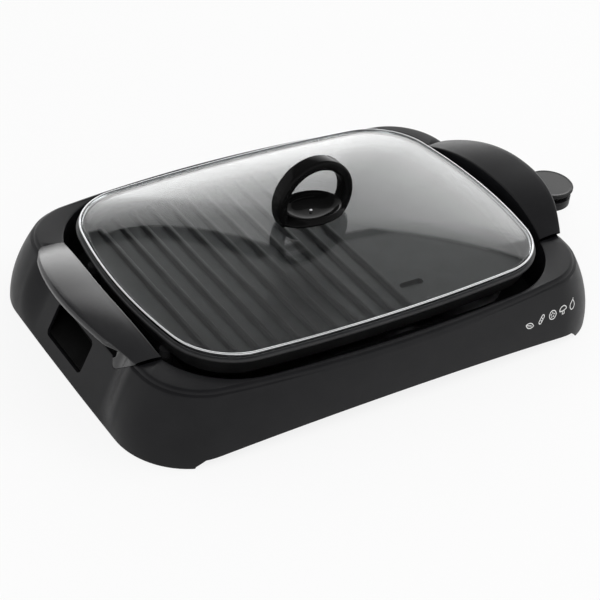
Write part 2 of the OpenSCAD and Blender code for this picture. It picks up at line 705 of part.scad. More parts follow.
module controller_lower_shell() {
    color([0.08, 0.08, 0.085]) difference() {
        union() {
            translate([0, 0, NECK_Z + 1]) linear_extrude(SPLIT_Z - gap / 2 - NECK_Z - 1) controller_plan();
            translate([0, 0, NECK_Z]) linear_extrude(1.5) controller_plan(1);
        }
        translate([0, 0, NECK_Z + 2]) linear_extrude(SPLIT_Z) intersection() {
            controller_plan(2.2);
            translate([NECK_X0 + wall, -neck_w]) square([neck_w * 3, neck_w * 2]);
        }
        controller_front_bores();
        gland_bore();
        at_controller_screws() cylinder(r = SCREW_R + SCREW_HOLE, h = CUT);
    }
    // Posts that take the screws
    color([0.08, 0.08, 0.085]) at_controller_screws() difference() {
        translate([0, 0, NECK_Z + 1]) cylinder(r = CONTROLLER_POST_R, h = SPLIT_Z - gap / 2 - NECK_Z - 1);
        cylinder(r = SCREW_R + SCREW_HOLE, h = CUT);
    }
}

module controller_front_bores() {
    translate([NECK_X0 - 1, 0, PIN_Z]) rotate([0, 90, 0]) cylinder(r = probe_r + gap, h = wall + 2);
    for (s = [-1, 1]) translate([NECK_X0 - 1, s * pin_y, PIN_Z]) rotate([0, 90, 0])
        cylinder(r = SLEEVE_R + gap, h = wall + 2);
}

module at_controller_screws() {
    for (x = [NECK_X0 + 20, dial_x - dial_r - 6], s = [-1, 1])
        translate([x, s * (neck_w / 2 - 4.6), 0]) children();
}

module controller_upper_shell() {
    color([0.08, 0.08, 0.085]) difference() {
        union() {
            translate([0, 0, SPLIT_Z + gap / 2]) linear_extrude(NECK_TOP - SPLIT_Z - 1 - gap / 2) controller_plan();
            translate([0, 0, NECK_TOP - 1.5]) linear_extrude(1.5) controller_plan(1);
        }
        // Round pocket for the dial
        translate([dial_x, 0, deck_z]) cylinder(r = dial_r + 0.8, h = 20, $fn = 96);
        translate([0, 0, SPLIT_Z - 1]) linear_extrude(NECK_TOP - SPLIT_Z - 1) intersection() {
            controller_plan(2.2);
            translate([NECK_X0 + wall, -neck_w]) square([dial_x - dial_r - NECK_X0 - 2 * wall, neck_w * 2]);
        }
        controller_front_bores();
        gland_bore();
        translate([dial_x, 0, SPLIT_Z - 1]) cylinder(r = SHAFT_R + fit, h = 10);
    }
    color([0.08, 0.08, 0.085]) at_controller_screws() difference() {
        translate([0, 0, SPLIT_Z + gap / 2]) cylinder(r = CONTROLLER_POST_R, h = NECK_TOP - SPLIT_Z - 1);
        translate([0, 0, SPLIT_Z]) cylinder(r = SCREW_R + fit, h = (NECK_TOP - SPLIT_Z) * 0.6);
    }
}

module temperature_probe() {
    color([0.8, 0.8, 0.82]) {
        translate([PROBE_TIP, 0, PIN_Z]) rotate([0, 90, 0]) cylinder(r = probe_r, h = NECK_X0 + wall + 6 - PROBE_TIP);
        translate([NECK_X0 + wall + 1, 0, PIN_Z]) rotate([0, 90, 0]) cylinder(r = probe_r + 2, h = 3);
    }
}

module contact_sleeves() {
    color([0.8, 0.75, 0.55]) for (s = [-1, 1]) translate([0, s * pin_y, PIN_Z]) rotate([0, 90, 0])
        translate([0, 0, SHROUD_X0 + wall + 3]) difference() {
            cylinder(r = SLEEVE_R, h = NECK_X0 + 10 - SHROUD_X0 - wall);
            translate([0, 0, -1]) cylinder(r = pin_r + fit, h = SHROUD_X1 - SHROUD_X0 - 4);
        }
}

module thermostat_switch() {
    color([0.75, 0.7, 0.6]) difference() {
        translate([dial_x - 14, -11, NECK_Z + 2 + gap]) cube([28, 22, SPLIT_Z - NECK_Z - 2 - 1.5 * gap]);
        translate([dial_x, 0, 0]) cylinder(r = SHAFT_R + fit, h = CUT);
    }
}

module controller_screws() {
    color([0.6, 0.6, 0.62]) at_controller_screws() {
        translate([0, 0, NECK_Z - gap - SMALL_HEAD_H]) cylinder(r = SMALL_HEAD_R, h = SMALL_HEAD_H);
        translate([0, 0, NECK_Z - gap - 0.1]) cylinder(r = SCREW_R, h = (SPLIT_Z + NECK_TOP) / 2 - NECK_Z);
    }
}

// The cord leaves the controller's rear flank under the handle
module gland_bore() {
    translate([GLAND_X, neck_w / 2 + 1, GLAND_Z]) rotate([90, 0, 0]) cylinder(r = 4 + fit, h = 6);
}

module cord_gland() {
    color([0.06, 0.06, 0.06]) translate([GLAND_X, neck_w / 2 + gap, GLAND_Z]) rotate([-90, 0, 0]) difference() {
        union() {
            cylinder(r = 5.5, h = 2);
            translate([0, 0, 1]) cylinder(r1 = 5, r2 = 4.2, h = 10);
            translate([0, 0, -3.4]) cylinder(r = 4, h = 5);
        }
        translate([0, 0, -5]) cylinder(r = 3, h = 20);
    }
}

module dial() {
    groove_r = 1;
    rim_z = dial_h - DIAL_RIM;
    color([0.2, 0.2, 0.21]) translate([dial_x, 0, dial_z]) difference() {
        rotate_extrude($fn = 96) polygon([[0, 0], [dial_r - DIAL_TAPER, 0], [dial_r - 0.6, rim_z], [dial_r, rim_z + 0.6],
                                          [dial_r, dial_h - 1.2], [dial_r - 1.2, dial_h],
                                          [dial_r - 3.5, dial_h - 0.3], [0, dial_h - 0.3]]);
        for (i = [0 : grip_count - 1]) rotate([0, 0, i * 360 / grip_count])
            translate([dial_r - DIAL_TAPER + 0.3, 0, 0]) rotate([0, atan2(DIAL_TAPER - 0.6, rim_z), 0])
                translate([0, 0, -2]) cylinder(r = groove_r, h = rim_z + 2, $fn = 16);
        translate([0, 0, -1]) cylinder(r = SHAFT_R + fit, h = dial_h - 1);
    }
}

module dial_shaft() {
    color([0.7, 0.7, 0.7]) translate([dial_x, 0, NECK_Z + 3.2]) cylinder(r = SHAFT_R, h = dial_z + dial_h - 2.6 - NECK_Z - 3.2);
}

// ---- Lid ----

// Height of the dome's underside over its edge: s is 1 at the edge and 0 in the middle
function dome(s) = glass_rise * (1 - pow(s, DOME_POWER));

function glass_ring(s, up) =
    let (flat = band_lip + BAND_EDGE + 1, a = lid_outline(-flat))
    s > 1 ? lift(lid_outline(-BAND_EDGE), glass_z + up)
          : lift([for (p = a) p * s], glass_z + up + dome(s));

module lid_glass() {
    steps = [1, 0.94, 0.86, 0.74, 0.58, 0.38, 0.16];
    color([0.75, 0.8, 0.82, 0.4]) difference() {
        loft(concat([for (i = [6 : -1 : 0]) glass_ring(steps[i], 0)], [glass_ring(2, 0), glass_ring(2, glass_t)],
                    [for (s = steps) glass_ring(s, glass_t)]));
        translate([0, 0, glass_z]) cylinder(r = KNOB_BORE + 1, h = glass_rise + 20);
    }
}

module lid_band() {
    top = glass_z + glass_t + gap / 2;
    profile = [[0, BAND_Z + 0.8], [0, top + band_t - 0.9], [-0.9, top + band_t], [-band_lip, top + band_t],
               [-band_lip, top], [gap / 2 - BAND_EDGE, top], [gap / 2 - BAND_EDGE, BAND_Z + band_t],
               [-band_lip, BAND_Z + band_t], [-band_lip, BAND_Z], [-0.8, BAND_Z]];
    color([0.85, 0.86, 0.88]) loft([for (p = profile) lift(lid_outline(p.x), p.y)], closed = true);
}

function oval(l, w, z, n = 36) = [for (i = [0 : n - 1]) [l / 2 * cos(i * 360 / n), w / 2 * sin(i * 360 / n), z]];

module lid_knob() {
    z0 = glass_top_mid + 1.2;
    color([0.04, 0.04, 0.045]) difference() {
        union() {
            // Foot, waist and dished saucer
            loft([oval(saucer_l + 10, saucer_w - 8, z0), oval(saucer_l + 10, saucer_w - 8, z0 + 2.4),
                  oval(saucer_l + 4, saucer_w - 10, z0 + 4), oval(saucer_l - 8, saucer_w - 12, SAUCER_Z - 4),
                  oval(saucer_l - 1, saucer_w - 1, SAUCER_Z - 1.4), oval(saucer_l, saucer_w, SAUCER_Z - 0.5),
                  oval(saucer_l - 1, saucer_w - 1, SAUCER_Z), oval(saucer_l - 5, saucer_w - 5, SAUCER_Z - 1),
                  oval(saucer_l - 24, saucer_w - 20, SAUCER_Z - 2.6)]);
            translate([0, 0, ring_z]) rotate([90, 0, 0]) rotate([0, 0, -37]) rotate_extrude(angle = 254, $fn = 96)
                translate([ring_r, 0]) rounded(ring_t, ring_d, 2.6);
        }
        translate([0, 0, z0 - 1]) cylinder(r = SCREW_R + fit, h = KNOB_SCREW_L - glass_t - 1);
    }
}

module knob_gasket() {
    color([0.3, 0.3, 0.3]) translate([0, 0, glass_top_mid + gap]) difference() {
        cylinder(r = 14, h = 0.8);
        translate([0, 0, -1]) cylinder(r = KNOB_BORE + 1, h = 4);
    }
}

module knob_washer() {
    color([0.7, 0.7, 0.72]) translate([0, 0, glass_top_mid - glass_t - 1.4 - gap]) difference() {
        cylinder(r = 8, h = 1.2);
        translate([0, 0, -1]) cylinder(r = SCREW_R + 0.3, h = 4);
    }
}

module knob_screw() {
    color([0.7, 0.7, 0.72]) translate([0, 0, glass_top_mid - glass_t - 1.4 - 2 * gap]) {
        cylinder(r = SCREW_R, h = KNOB_SCREW_L);
        translate([0, 0, -KNOB_SCREW_HEAD_H]) cylinder(r1 = HEAD_R, r2 = HEAD_R + 0.6, h = KNOB_SCREW_HEAD_H);
    }
}

// Moves what is drawn around the middle of the base to the shared origin
module placed() {
    translate([-origin_x, 0, 0]) children();
}

placed() base_housing();
placed() left_handle();
placed() right_handle();
placed() handle_screws();
placed() base_pan();
placed() base_screws();
placed() rubber_feet();
placed() drip_tray();
placed() grill_plate();
placed() heating_element();
placed() element_terminals();
placed() socket_shroud();
placed() shroud_screws();
placed() controller_lower_shell();
placed() controller_upper_shell();
placed() temperature_probe();
placed() contact_sleeves();
placed() thermostat_switch();
placed() controller_screws();
placed() cord_gland();
placed() dial();
placed() dial_shaft();
placed() lid_glass();
placed() lid_band();
placed() lid_knob();
placed() knob_gasket();
placed() knob_washer();
placed() knob_screw();
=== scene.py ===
# %% [markdown]
# # An electric table grill with a lift-off glass lid
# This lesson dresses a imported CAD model. The real grill has a moulded black base with a handle
# arched over each end, a ribbed non-stick plate, a clear glass lid in a steel band with a ring
# knob, and a plug-in temperature controller. Parts that are already right keep their CAD shape
# and get a finish. The forms that catch the eye are built again here with finer steps and soft
# edges, because highlights show every facet.

# %% Load the frame
import bpy
import bmesh
import math
from mathutils import Vector, Matrix


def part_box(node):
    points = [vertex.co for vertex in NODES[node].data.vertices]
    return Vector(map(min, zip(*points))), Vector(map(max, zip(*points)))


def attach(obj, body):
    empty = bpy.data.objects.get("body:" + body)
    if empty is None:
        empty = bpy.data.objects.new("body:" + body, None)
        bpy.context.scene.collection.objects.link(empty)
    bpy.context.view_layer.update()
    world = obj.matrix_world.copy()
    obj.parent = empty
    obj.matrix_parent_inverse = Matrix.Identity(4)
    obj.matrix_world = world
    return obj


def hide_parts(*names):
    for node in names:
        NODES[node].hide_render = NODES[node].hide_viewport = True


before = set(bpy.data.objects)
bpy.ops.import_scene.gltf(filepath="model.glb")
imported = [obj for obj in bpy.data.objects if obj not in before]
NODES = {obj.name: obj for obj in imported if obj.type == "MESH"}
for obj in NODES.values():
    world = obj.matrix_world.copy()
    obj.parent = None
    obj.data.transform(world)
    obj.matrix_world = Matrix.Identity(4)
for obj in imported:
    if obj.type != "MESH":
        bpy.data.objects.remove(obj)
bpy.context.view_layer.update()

# %% [markdown]
# ## A shared measure
# All sizes below are in millimetres around the middle of the base, as on the drawing board.
# Blender works in metres, and the frame's origin lies in the middle of the whole length with
# the controller, so one helper does the change. The base housing is symmetric, so its own box
# tells where its middle is.

# %% From drawing millimetres to the frame
low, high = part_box("base_housing")
MIDDLE = Vector(((low.x + high.x) / 2, 0, 0))


def place(x, y, z):
    return Vector((x, y, z)) / 1000 + MIDDLE


def mix(a, b, s):
    return a + (b - a) * s


def smooth(v):
    t = max(0.0, min(1.0, v))
    return t * t * (3 - 2 * t)


print("middle of the base in the frame, mm:", [round(v * 1000, 2) for v in MIDDLE])

# %% [markdown]
# ## The camera
# The photograph was taken from the front left, 36 degrees above the table, with a long lens.
# A camera could be aimed with a tracking constraint, but its three axes are known, so they go
# straight into its matrix: right, up and backward are the columns.

# %% Camera at the photograph's place
camera = bpy.data.objects.new("camera", bpy.data.cameras.new("camera"))
bpy.context.scene.collection.objects.link(camera)
right, up, back = (0.8429, -0.5312, 0.0853), (0.2576, 0.5378, 0.8027), (-0.4723, -0.6547, 0.5902)
axes = Matrix((right, up, back)).transposed().to_4x4()
camera.matrix_world = Matrix.Translation(place(-770.5, -1065.9, 963.0)) @ axes
camera.data.lens = 99.47
camera.data.sensor_width = 36
camera.data.clip_end = 30
bpy.context.scene.camera = camera
bpy.context.scene.view_settings.view_transform = "Standard"
print("camera distance, m:", round((camera.location - MIDDLE).length, 3))

# %% [markdown]
# ## Bowed outlines
# Nothing on this grill is a true rectangle: the lid, the well and the body all have four
# shallow arcs joined by round corners. A bevelled box would give straight sides. Working out
# the corner arc that touches both shallow arcs gives the true outline, and every ring of the
# body, band and glass can then be asked for by size.

# %% Outline of a bowed rectangle
def corner_centre(a, b, r, side_bow, end_bow):
    """The middle of the corner arc that touches the long side's arc and the end's arc."""
    c1, c2 = Vector((0, b - side_bow)), Vector((a - end_bow, 0))
    r1, r2 = side_bow - r, end_bow - r
    length = (c2 - c1).length
    u = (c2 - c1) / length
    t = (r1 * r1 - r2 * r2 + length * length) / (2 * length)
    return c1 + u * t + Vector((u.y, -u.x)) * math.sqrt(r1 * r1 - t * t)


def arc(cx, cy, r, start, stop, n, first=0):
    """Points of an arc; first=1 leaves out its first point, which the arc before it has."""
    turns = [mix(start, stop, i / n) for i in range(first, n + 1)]
    return [(cx + r * math.cos(w), cy + r * math.sin(w)) for w in turns]


def outline(a, b, r, side_bow, end_bow, ends=36, corners=20, sides=16):
    """A closed ring; a and b are the half length and half width, the bows are the arcs' radii."""
    c = corner_centre(a, b, r, side_bow, end_bow)
    w2 = math.atan2(c.y, c.x - (a - end_bow))
    w1 = math.atan2(c.y - (b - side_bow), c.x)
    q = (arc(a - end_bow, 0, end_bow, 0, w2, ends) + arc(c.x, c.y, r, w2, w1, corners, 1)
         + arc(0, b - side_bow, side_bow, w1, math.pi / 2, sides, 1))
    n = len(q)
    return (q + [(-q[i][0], q[i][1]) for i in range(n - 2, -1, -1)]
            + [(-q[i][0], -q[i][1]) for i in range(1, n)]
            + [(q[i][0], -q[i][1]) for i in range(n - 2, 0, -1)])


LID_A, LID_B, LID_R = 205, 145, 64    # half length, half width, corner radius
WELL_A, WELL_B, WELL_R = 220, 160, 84
RIM_A, RIM_B, RIM_R = 240, 170, 58.5
FOOT_A, FOOT_B, FOOT_R = 257.8, 175.5, 70
LID_BOWS = (1695, 469)     # radii of the long sides' and the ends' arcs, also the well's
RIM_BOWS, FOOT_BOWS = (1235, 909), (4400, 6000)
BODY_H, WELL_EDGE_Z = 70.5, 69.7


def lid_outline(o=0):
    return outline(LID_A + o, LID_B + o, LID_R + o, LID_BOWS[0] + o, LID_BOWS[1] + o)


def well_outline(o, ends):
    return outline(WELL_A + o, WELL_B + o, WELL_R + o, LID_BOWS[0] + o, LID_BOWS[1] + o, ends=ends)


print("lid outline points:", len(lid_outline()))

# %% [markdown]
# ## Lofting and finishing helpers
# Most forms here are skins stretched over rings of points, which is how a mould is drawn too.
# Each finished mesh becomes one piece that rides on a CAD body, hides the CAD nodes it stands
# for, and takes its finish. Smooth shading with sharp edges kept by angle
# needs no extra geometry.

# %% Helpers: skin over rings, solid prism, and finished piece
def loft(rings, closed=False):
    """A skin over rings of equal length, with caps at both ends or closed on itself."""
    n, m = len(rings[0]), len(rings)
    verts = [p for ring in rings for p in ring]
    faces = []
    for i in range(m if closed else m - 1):
        k = (i + 1) % m
        faces += [(i * n + j, i * n + (j + 1) % n, k * n + (j + 1) % n, k * n + j) for j in range(n)]
    if not closed:
        faces += [tuple(reversed(range(n))), tuple(range((m - 1) * n, m * n))]
    return verts, faces


def lift(ring, z):
    return [(x, y, z) for x, y in ring]


def prism(ring, z0, z1):
    return loft([lift(ring, z0), lift(ring, z1)])


def circle(cx, cy, r, n=32):
    return [(cx + r * math.cos(i * math.tau / n), cy + r * math.sin(i * math.tau / n)) for i in range(n)]


print("a round prism has", len(prism(circle(0, 0, 5), 0, 1)[1]), "faces")

# %% [markdown]
# Two forms can be added, or one cut from the other, by a Boolean modifier that is applied at
# once. Its exact solver wants closed tools that are not inside out and that share no plane with
# the target, so some tools below are a fraction of a millimetre short.

# %% Helpers: objects, cuts and soft edges
def raw_object(name, shape):
    verts, faces = shape
    mesh = bpy.data.meshes.new(name)
    mesh.from_pydata([place(*v) for v in verts], [], faces)
    bm = bmesh.new()
    bm.from_mesh(mesh)
    bmesh.ops.recalc_face_normals(bm, faces=bm.faces)
    if bm.calc_volume(signed=True) < 0:        # an inside-out tool would cut away everything
        bmesh.ops.reverse_faces(bm, faces=bm.faces)
    bm.to_mesh(mesh)
    bm.free()
    o = bpy.data.objects.new(name, mesh)
    bpy.context.scene.collection.objects.link(o)
    return o


def apply_modifier(target):
    bpy.context.view_layer.update()
    made = bpy.data.meshes.new_from_object(target.evaluated_get(bpy.context.evaluated_depsgraph_get()))
    target.modifiers.clear()
    target.data = made


def with_object(target, tool, operation):
    """Adds a tool to target, cuts it away or keeps only what is inside it; the tool is used up."""
    m = target.modifiers.new("cut", "BOOLEAN")
    m.operation, m.object, m.solver = operation, tool, "EXACT"
    apply_modifier(target)
    bpy.data.objects.remove(tool)


def combine(target, shape, operation):
    with_object(target, raw_object("tool", shape), operation)


def soften(target, width, angle=38, segments=2):
    """Rounds every edge that is sharper than angle, by a width in millimetres."""
    m = target.modifiers.new("soft edge", "BEVEL")
    m.width, m.segments = width / 1000, segments
    m.limit_method, m.angle_limit = "ANGLE", math.radians(angle)
    m.use_clamp_overlap = True
    apply_modifier(target)


def finished(o, body, material, stands_for=(), angle=30):
    """Gives a piece its finish and its body, and hides the CAD nodes that it stands for."""
    o.data.materials.clear()
    o.data.materials.append(material)
    o.data.shade_smooth()
    o.data.set_sharp_from_angle(angle=math.radians(angle))
    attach(o, body)
    if stands_for:
        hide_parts(*stands_for)
    print(f"{o.name}: {len(o.data.polygons)} faces on {body}")


# %% [markdown]
# ## Finishes
# Every finish is made of shader nodes, so it holds at any zoom. The base is satin black plastic
# with the fine grain of a spark-eroded mould. A plain dark colour would look like a cut-out, so
# small noise drives the bump, the roughness and a slight change of tone.

# %% Material helpers
def new_material(name):
    m = bpy.data.materials.new(name)
    m.use_nodes = True
    tree = m.node_tree
    shader = tree.nodes["Principled BSDF"]
    return m, tree, shader


def noise(tree, scale, detail=2.0):
    where = tree.nodes.new("ShaderNodeTexCoord")
    n = tree.nodes.new("ShaderNodeTexNoise")
    n.inputs["Scale"].default_value = scale
    n.inputs["Detail"].default_value = detail
    tree.links.new(where.outputs["Object"], n.inputs["Vector"])
    return n


def ramp_between(tree, value, start, stop, dark, light, socket):
    """Turns a value that runs from start to stop into a colour from dark to light."""
    ramp = tree.nodes.new("ShaderNodeValToRGB")
    for end, position, colour in zip(ramp.color_ramp.elements, (start, stop), (dark, light)):
        end.position, end.color = position, (*colour, 1)
    tree.links.new(value, ramp.inputs["Fac"])
    tree.links.new(ramp.outputs["Color"], socket)


def tone(tree, source, dark, light, socket):
    """Turns a noise into a small change between two greys or colours."""
    ramp_between(tree, source.outputs["Fac"], 0.3, 0.7, dark, light, socket)


GRAIN_DEPTH = 0.0004       # metres from the bottom of the grain to its top


def grain(tree, shader, scale, strength):
    source = noise(tree, scale, 3)
    bump = tree.nodes.new("ShaderNodeBump")
    bump.inputs["Strength"].default_value = strength
    bump.inputs["Distance"].default_value = GRAIN_DEPTH
    tree.links.new(source.outputs["Fac"], bump.inputs["Height"])
    tree.links.new(bump.outputs["Normal"], shader.inputs["Normal"])


def grey(v):
    return (v, v, v)


def finish_of(name, dark, light, rough, grain_scale, strength, specular=0.5, metallic=0.0):
    """One finish: colour between dark and light, roughness between two values, fine grain."""
    m, tree, shader = new_material(name)
    shader.inputs["Metallic"].default_value = metallic
    shader.inputs["Specular IOR Level"].default_value = specular
    tone(tree, noise(tree, 40), dark, light, shader.inputs["Base Color"])
    tone(tree, noise(tree, 90, 4), grey(rough[0]), grey(rough[1]), shader.inputs["Roughness"])
    grain(tree, shader, grain_scale, strength)
    return m


print("the grain is", GRAIN_DEPTH * 1e6, "micrometres deep at full strength")

# %% [markdown]
# Most pieces are black plastic. Both handles are one plastic, but the left one faces the light and gets
# the lit copy of its finish, a painted sheen: a touch lighter, glossier and more reflective. The right
# one and the base are satin, and the pan inside is dull. The metals are told apart by their colour and
# roughness.

# %% The finishes
SATIN = finish_of("satin_black", (0.006, 0.006, 0.007), (0.008, 0.008, 0.009),
                  (0.36, 0.42), 2600, 0.10, 0.2)
# painted sheen: the left handle's lit copy of the satin handle plastic, a touch lighter, glossier and more
# reflective
LIT_HANDLE_SHEEN = finish_of("handle_gloss", (0.007, 0.007, 0.008), (0.009, 0.009, 0.010),
                   (0.20, 0.24), 2600, 0.04, 0.56)
HANDLE_RIGHT = finish_of("handle_satin", (0.006, 0.006, 0.007), (0.008, 0.008, 0.009),
                         (0.34, 0.40), 2600, 0.08, 0.22)
PAN = finish_of("pan_plastic", (0.006, 0.006, 0.006), (0.009, 0.009, 0.009), (0.5, 0.6), 1800, 0.15, 0.12)
RUBBER = finish_of("rubber", (0.012, 0.012, 0.012), (0.020, 0.020, 0.020), (0.75, 0.85), 1500, 0.25, 0.3)
NONSTICK = finish_of("nonstick", (0.018, 0.018, 0.019), (0.028, 0.028, 0.029),
                     (0.34, 0.44), 1400, 0.30, 0.5)
ELEMENT = finish_of("element_steel", (0.10, 0.09, 0.085), (0.20, 0.18, 0.17),
                    (0.45, 0.6), 700, 0.2, 0.5, 1.0)
TRAY = finish_of("tray_aluminium", (0.50, 0.51, 0.53), (0.60, 0.61, 0.63),
                 (0.28, 0.38), 500, 0.05, 0.5, 1.0)
STEEL = finish_of("polished_steel", (0.80, 0.81, 0.82), (0.86, 0.87, 0.88),
                  (0.12, 0.18), 1200, 0.02, 0.5, 1.0)
ZINC = finish_of("zinc_screws", (0.50, 0.50, 0.52), (0.62, 0.62, 0.64), (0.25, 0.4), 900, 0.1, 0.5, 1.0)
BRASS = finish_of("contact_brass", (0.70, 0.52, 0.26), (0.80, 0.62, 0.34),
                  (0.25, 0.35), 900, 0.08, 0.5, 1.0)
CERAMIC = finish_of("ceramic", (0.66, 0.62, 0.54), (0.76, 0.72, 0.64), (0.55, 0.7), 1200, 0.2, 0.5)


def dial_material():
    """The dial's top is a little lighter than its grip, which has a matt, darker surface."""
    m, tree, shader = new_material("dial_plastic")
    shader.inputs["Specular IOR Level"].default_value = 0.3
    facing = tree.nodes.new("ShaderNodeNewGeometry")
    split = tree.nodes.new("ShaderNodeSeparateXYZ")
    tree.links.new(facing.outputs["Normal"], split.inputs[0])
    for side, top, socket in [(0.003, 0.034, "Base Color"), (0.62, 0.34, "Roughness")]:
        ramp_between(tree, split.outputs["Z"], 0.45, 0.9, grey(side), grey(top), shader.inputs[socket])
    grain(tree, shader, 2600, 0.08)
    return m


DIAL = dial_material()
print("finishes:", len(bpy.data.materials))

# %% [markdown]
# ### Clear tempered glass
# The lid is a solid sheet 4 mm thick, so light should bend through it. A see-through alpha
# would lose the bright rim and the reflection of the studio, so this one uses transmission.
# A faint, wide change of tint is what real tempered sheet has.

# %% Glass
def glass_material():
    m, tree, shader = new_material("clear_glass")
    shader.inputs["Transmission Weight"].default_value = 1.0
    shader.inputs["IOR"].default_value = 1.47
    shader.inputs["Roughness"].default_value = 0.0
    tone(tree, noise(tree, 6), (0.88, 0.90, 0.90), (0.92, 0.935, 0.935), shader.inputs["Base Color"])
    return m


GLASS = glass_material()
print("glass finish:", GLASS.name)

# %% [markdown]
# ## Finishes for the parts that keep their CAD shape
# A table of node and finish is shorter than a line for each. Their shape stays as it was made,
# and only the shading changes.

# %% Dress the CAD nodes
CAD_FINISH = {
    "base_pan": PAN, "socket_shroud": PAN, "rubber_feet": RUBBER, "cord_gland": RUBBER,
    "knob_gasket": RUBBER, "drip_tray": TRAY, "heating_element": ELEMENT,
    "element_terminals": BRASS, "contact_sleeves": BRASS, "thermostat_switch": CERAMIC,
    "controller_lower_shell": SATIN, "controller_upper_shell": SATIN, "temperature_probe": STEEL,
    "dial": DIAL, "dial_shaft": STEEL, "handle_screws": ZINC, "base_screws": ZINC,
    "shroud_screws": ZINC, "controller_screws": ZINC, "knob_washer": ZINC, "knob_screw": ZINC,
}
for name, material in CAD_FINISH.items():
    mesh = NODES[name].data
    mesh.materials.clear()
    mesh.materials.append(material)
print("CAD nodes dressed:", len(CAD_FINISH))

# %% [markdown]
# ## The base housing
# The skin leans out towards the foot, bows a little on every side, and under each handle a
# sloping face is sunk into it. It could be carved from a block, but one closed loft that runs
# up the outside, over the rim, down the well and back up inside gives a wall of even thickness.

# %% Skin of the body at a height
FACET_A = 257.8            # where the sloping face would meet the table
FACET_SLOPE = 0.45         # the sloping face under a handle comes in this much per mm of height
HANDLE_HALF = 96           # a handle reaches this far to either side
FADE = 32                  # the sloping face fades out over this length before a seam
END_STEPS = 64             # points on an end's arc, fine enough for the sloping face


def body_shape(z, o=0.0):
    """The numbers of the outline at a height, moved inward by o."""
    s = max(0.0, min(1.0, z / BODY_H)) ** 2
    bows = [1 / mix(1 / foot, 1 / rim, s) - o for foot, rim in zip(FOOT_BOWS, RIM_BOWS)]
    return mix(FOOT_A, RIM_A, s) - o, mix(FOOT_B, RIM_B, s) - o, mix(FOOT_R, RIM_R, s) - o, *bows


def facet_x(z):
    return FACET_A - FACET_SLOPE * (z - 1)


def sunk(x, y, z):
    """How far the sloping face lies inside the leaning skin."""
    return smooth((HANDLE_HALF - abs(y)) / FADE) * max(0.0, abs(x) - facet_x(z))


def body_ring(z, o=0.0):
    ring = []
    for x, y in outline(*body_shape(z, o), ends=END_STEPS):
        if abs(y) < HANDLE_HALF and abs(x) > WELL_A * 0.9:      # only on the two ends
            x -= math.copysign(sunk(abs(x) + o, y, z), x)
        ring.append((x, y))
    return ring


def end_x(shape, y):
    """X of an outline's end at a given y, on the shallow arc or round the corner."""
    a, b, r, side_bow, end_bow = shape
    c = corner_centre(*shape)
    touch = end_bow * math.sin(math.atan2(c.y, c.x - (a - end_bow)))
    if abs(y) <= touch:
        return a - end_bow + math.sqrt(end_bow ** 2 - y * y)
    return c.x + math.sqrt(max(0.0, r * r - (abs(y) - c.y) ** 2))


def side_y(shape, x):
    """Y of an outline's side at a given x, on the shallow arc or round the corner."""
    a, b, r, side_bow, end_bow = shape
    c = corner_centre(*shape)
    touch = side_bow * math.cos(math.atan2(c.y - (b - side_bow), c.x))
    if abs(x) <= touch:
        return b - side_bow + math.sqrt(side_bow ** 2 - x * x)
    return c.y + math.sqrt(max(0.0, r * r - (abs(x) - c.x) ** 2))


def skin_x(y, z):
    x = end_x(body_shape(z), y)
    return x - sunk(x, y, z)


WELL_SHAPE = (WELL_A, WELL_B, WELL_R, *LID_BOWS)
print("skin at the middle of an end, z 40:", round(skin_x(0, 40), 1), "mm")

# %% [markdown]
# The rings go up the outside, round the rim, down into the well, back up under the rim and down
# the inside to the foot, where the edge turns in. All rings have the same number of points, so
# the skin between two of them is one strip of quads.

# %% Loft the housing
EDGE_R = 4                 # rounding of the rim's outer edge
WALL, WELL_WALL = 3, 2.5
SKIN_Z, WELL_BOTTOM_Z = 1.2, 38        # lower edges of the skin and of the well's wall
TURN_IN, TURN_IN_Z = 13, 3.3           # the turned-in foot edge: its width from the skin, its top


def housing_rings():
    rings = [(z, body_ring(z)) for z in [SKIN_Z, 2.4] + [4 + 2.7 * i for i in range(24)]]
    for i in range(1, 10):                     # rounded upper edge
        w = math.radians(10 * i)
        rings.append((BODY_H - EDGE_R * (1 - math.sin(w)), body_ring(BODY_H, EDGE_R * (1 - math.cos(w)))))
    for o, down in [(2.4, -0.2), (1.2, 0), (0.4, 0.4), (0, 1.2), (0, WELL_EDGE_Z - WELL_BOTTOM_Z)]:
        rings.append((WELL_EDGE_Z - down, well_outline(o, END_STEPS)))
    rings += [(z, well_outline(WELL_WALL, END_STEPS)) for z in (WELL_BOTTOM_Z, 66.5)]
    rings += [(z, body_ring(z, WALL)) for z in (67, 60, 52, 44, 36, 28, 20, 11, TURN_IN_Z)]
    rings += [(z, body_ring(z, TURN_IN)) for z in (TURN_IN_Z, SKIN_Z)]
    return [lift(ring, z) for z, ring in rings]


housing = raw_object("housing_shell", loft(housing_rings(), closed=True))
print("housing before its cut-outs:", len(housing.data.polygons), "faces")

# %% [markdown]
# ### Seats, window, passage and arch
# Each handle drops into a seat whose seam dips to a hook on either side. Below the left handle
# a window lets the fingers in, the controller goes in on the right, and a long low arch runs
# under the front and the back. Cutting them from the finished skin keeps the skin smooth around
# them. A cutter is a flat profile that is drawn out along X or Y.

# %% Profiles drawn out along an axis
def along_x(profile, x0, x1):
    return loft([[(x0, y, z) for y, z in profile], [(x1, y, z) for y, z in profile]])


def along_y(profile, y0, y1):
    return loft([[(x, y0, z) for x, z in profile], [(x, y1, z) for x, z in profile]])


def round_rect(cx, cy, w, h, r, n=8):
    quarter = math.pi / 2
    points = []
    for sx, sy, k in [(1, 1, 0), (-1, 1, 1), (-1, -1, 2), (1, -1, 3)]:
        middle = cx + sx * (w / 2 - r), cy + sy * (h / 2 - r)
        points += arc(*middle, r, k * quarter, (k + 1) * quarter, n)
    return points


WINDOW = round_rect(12, 29.5, 68, 32, 5)
print("window points:", len(WINDOW))

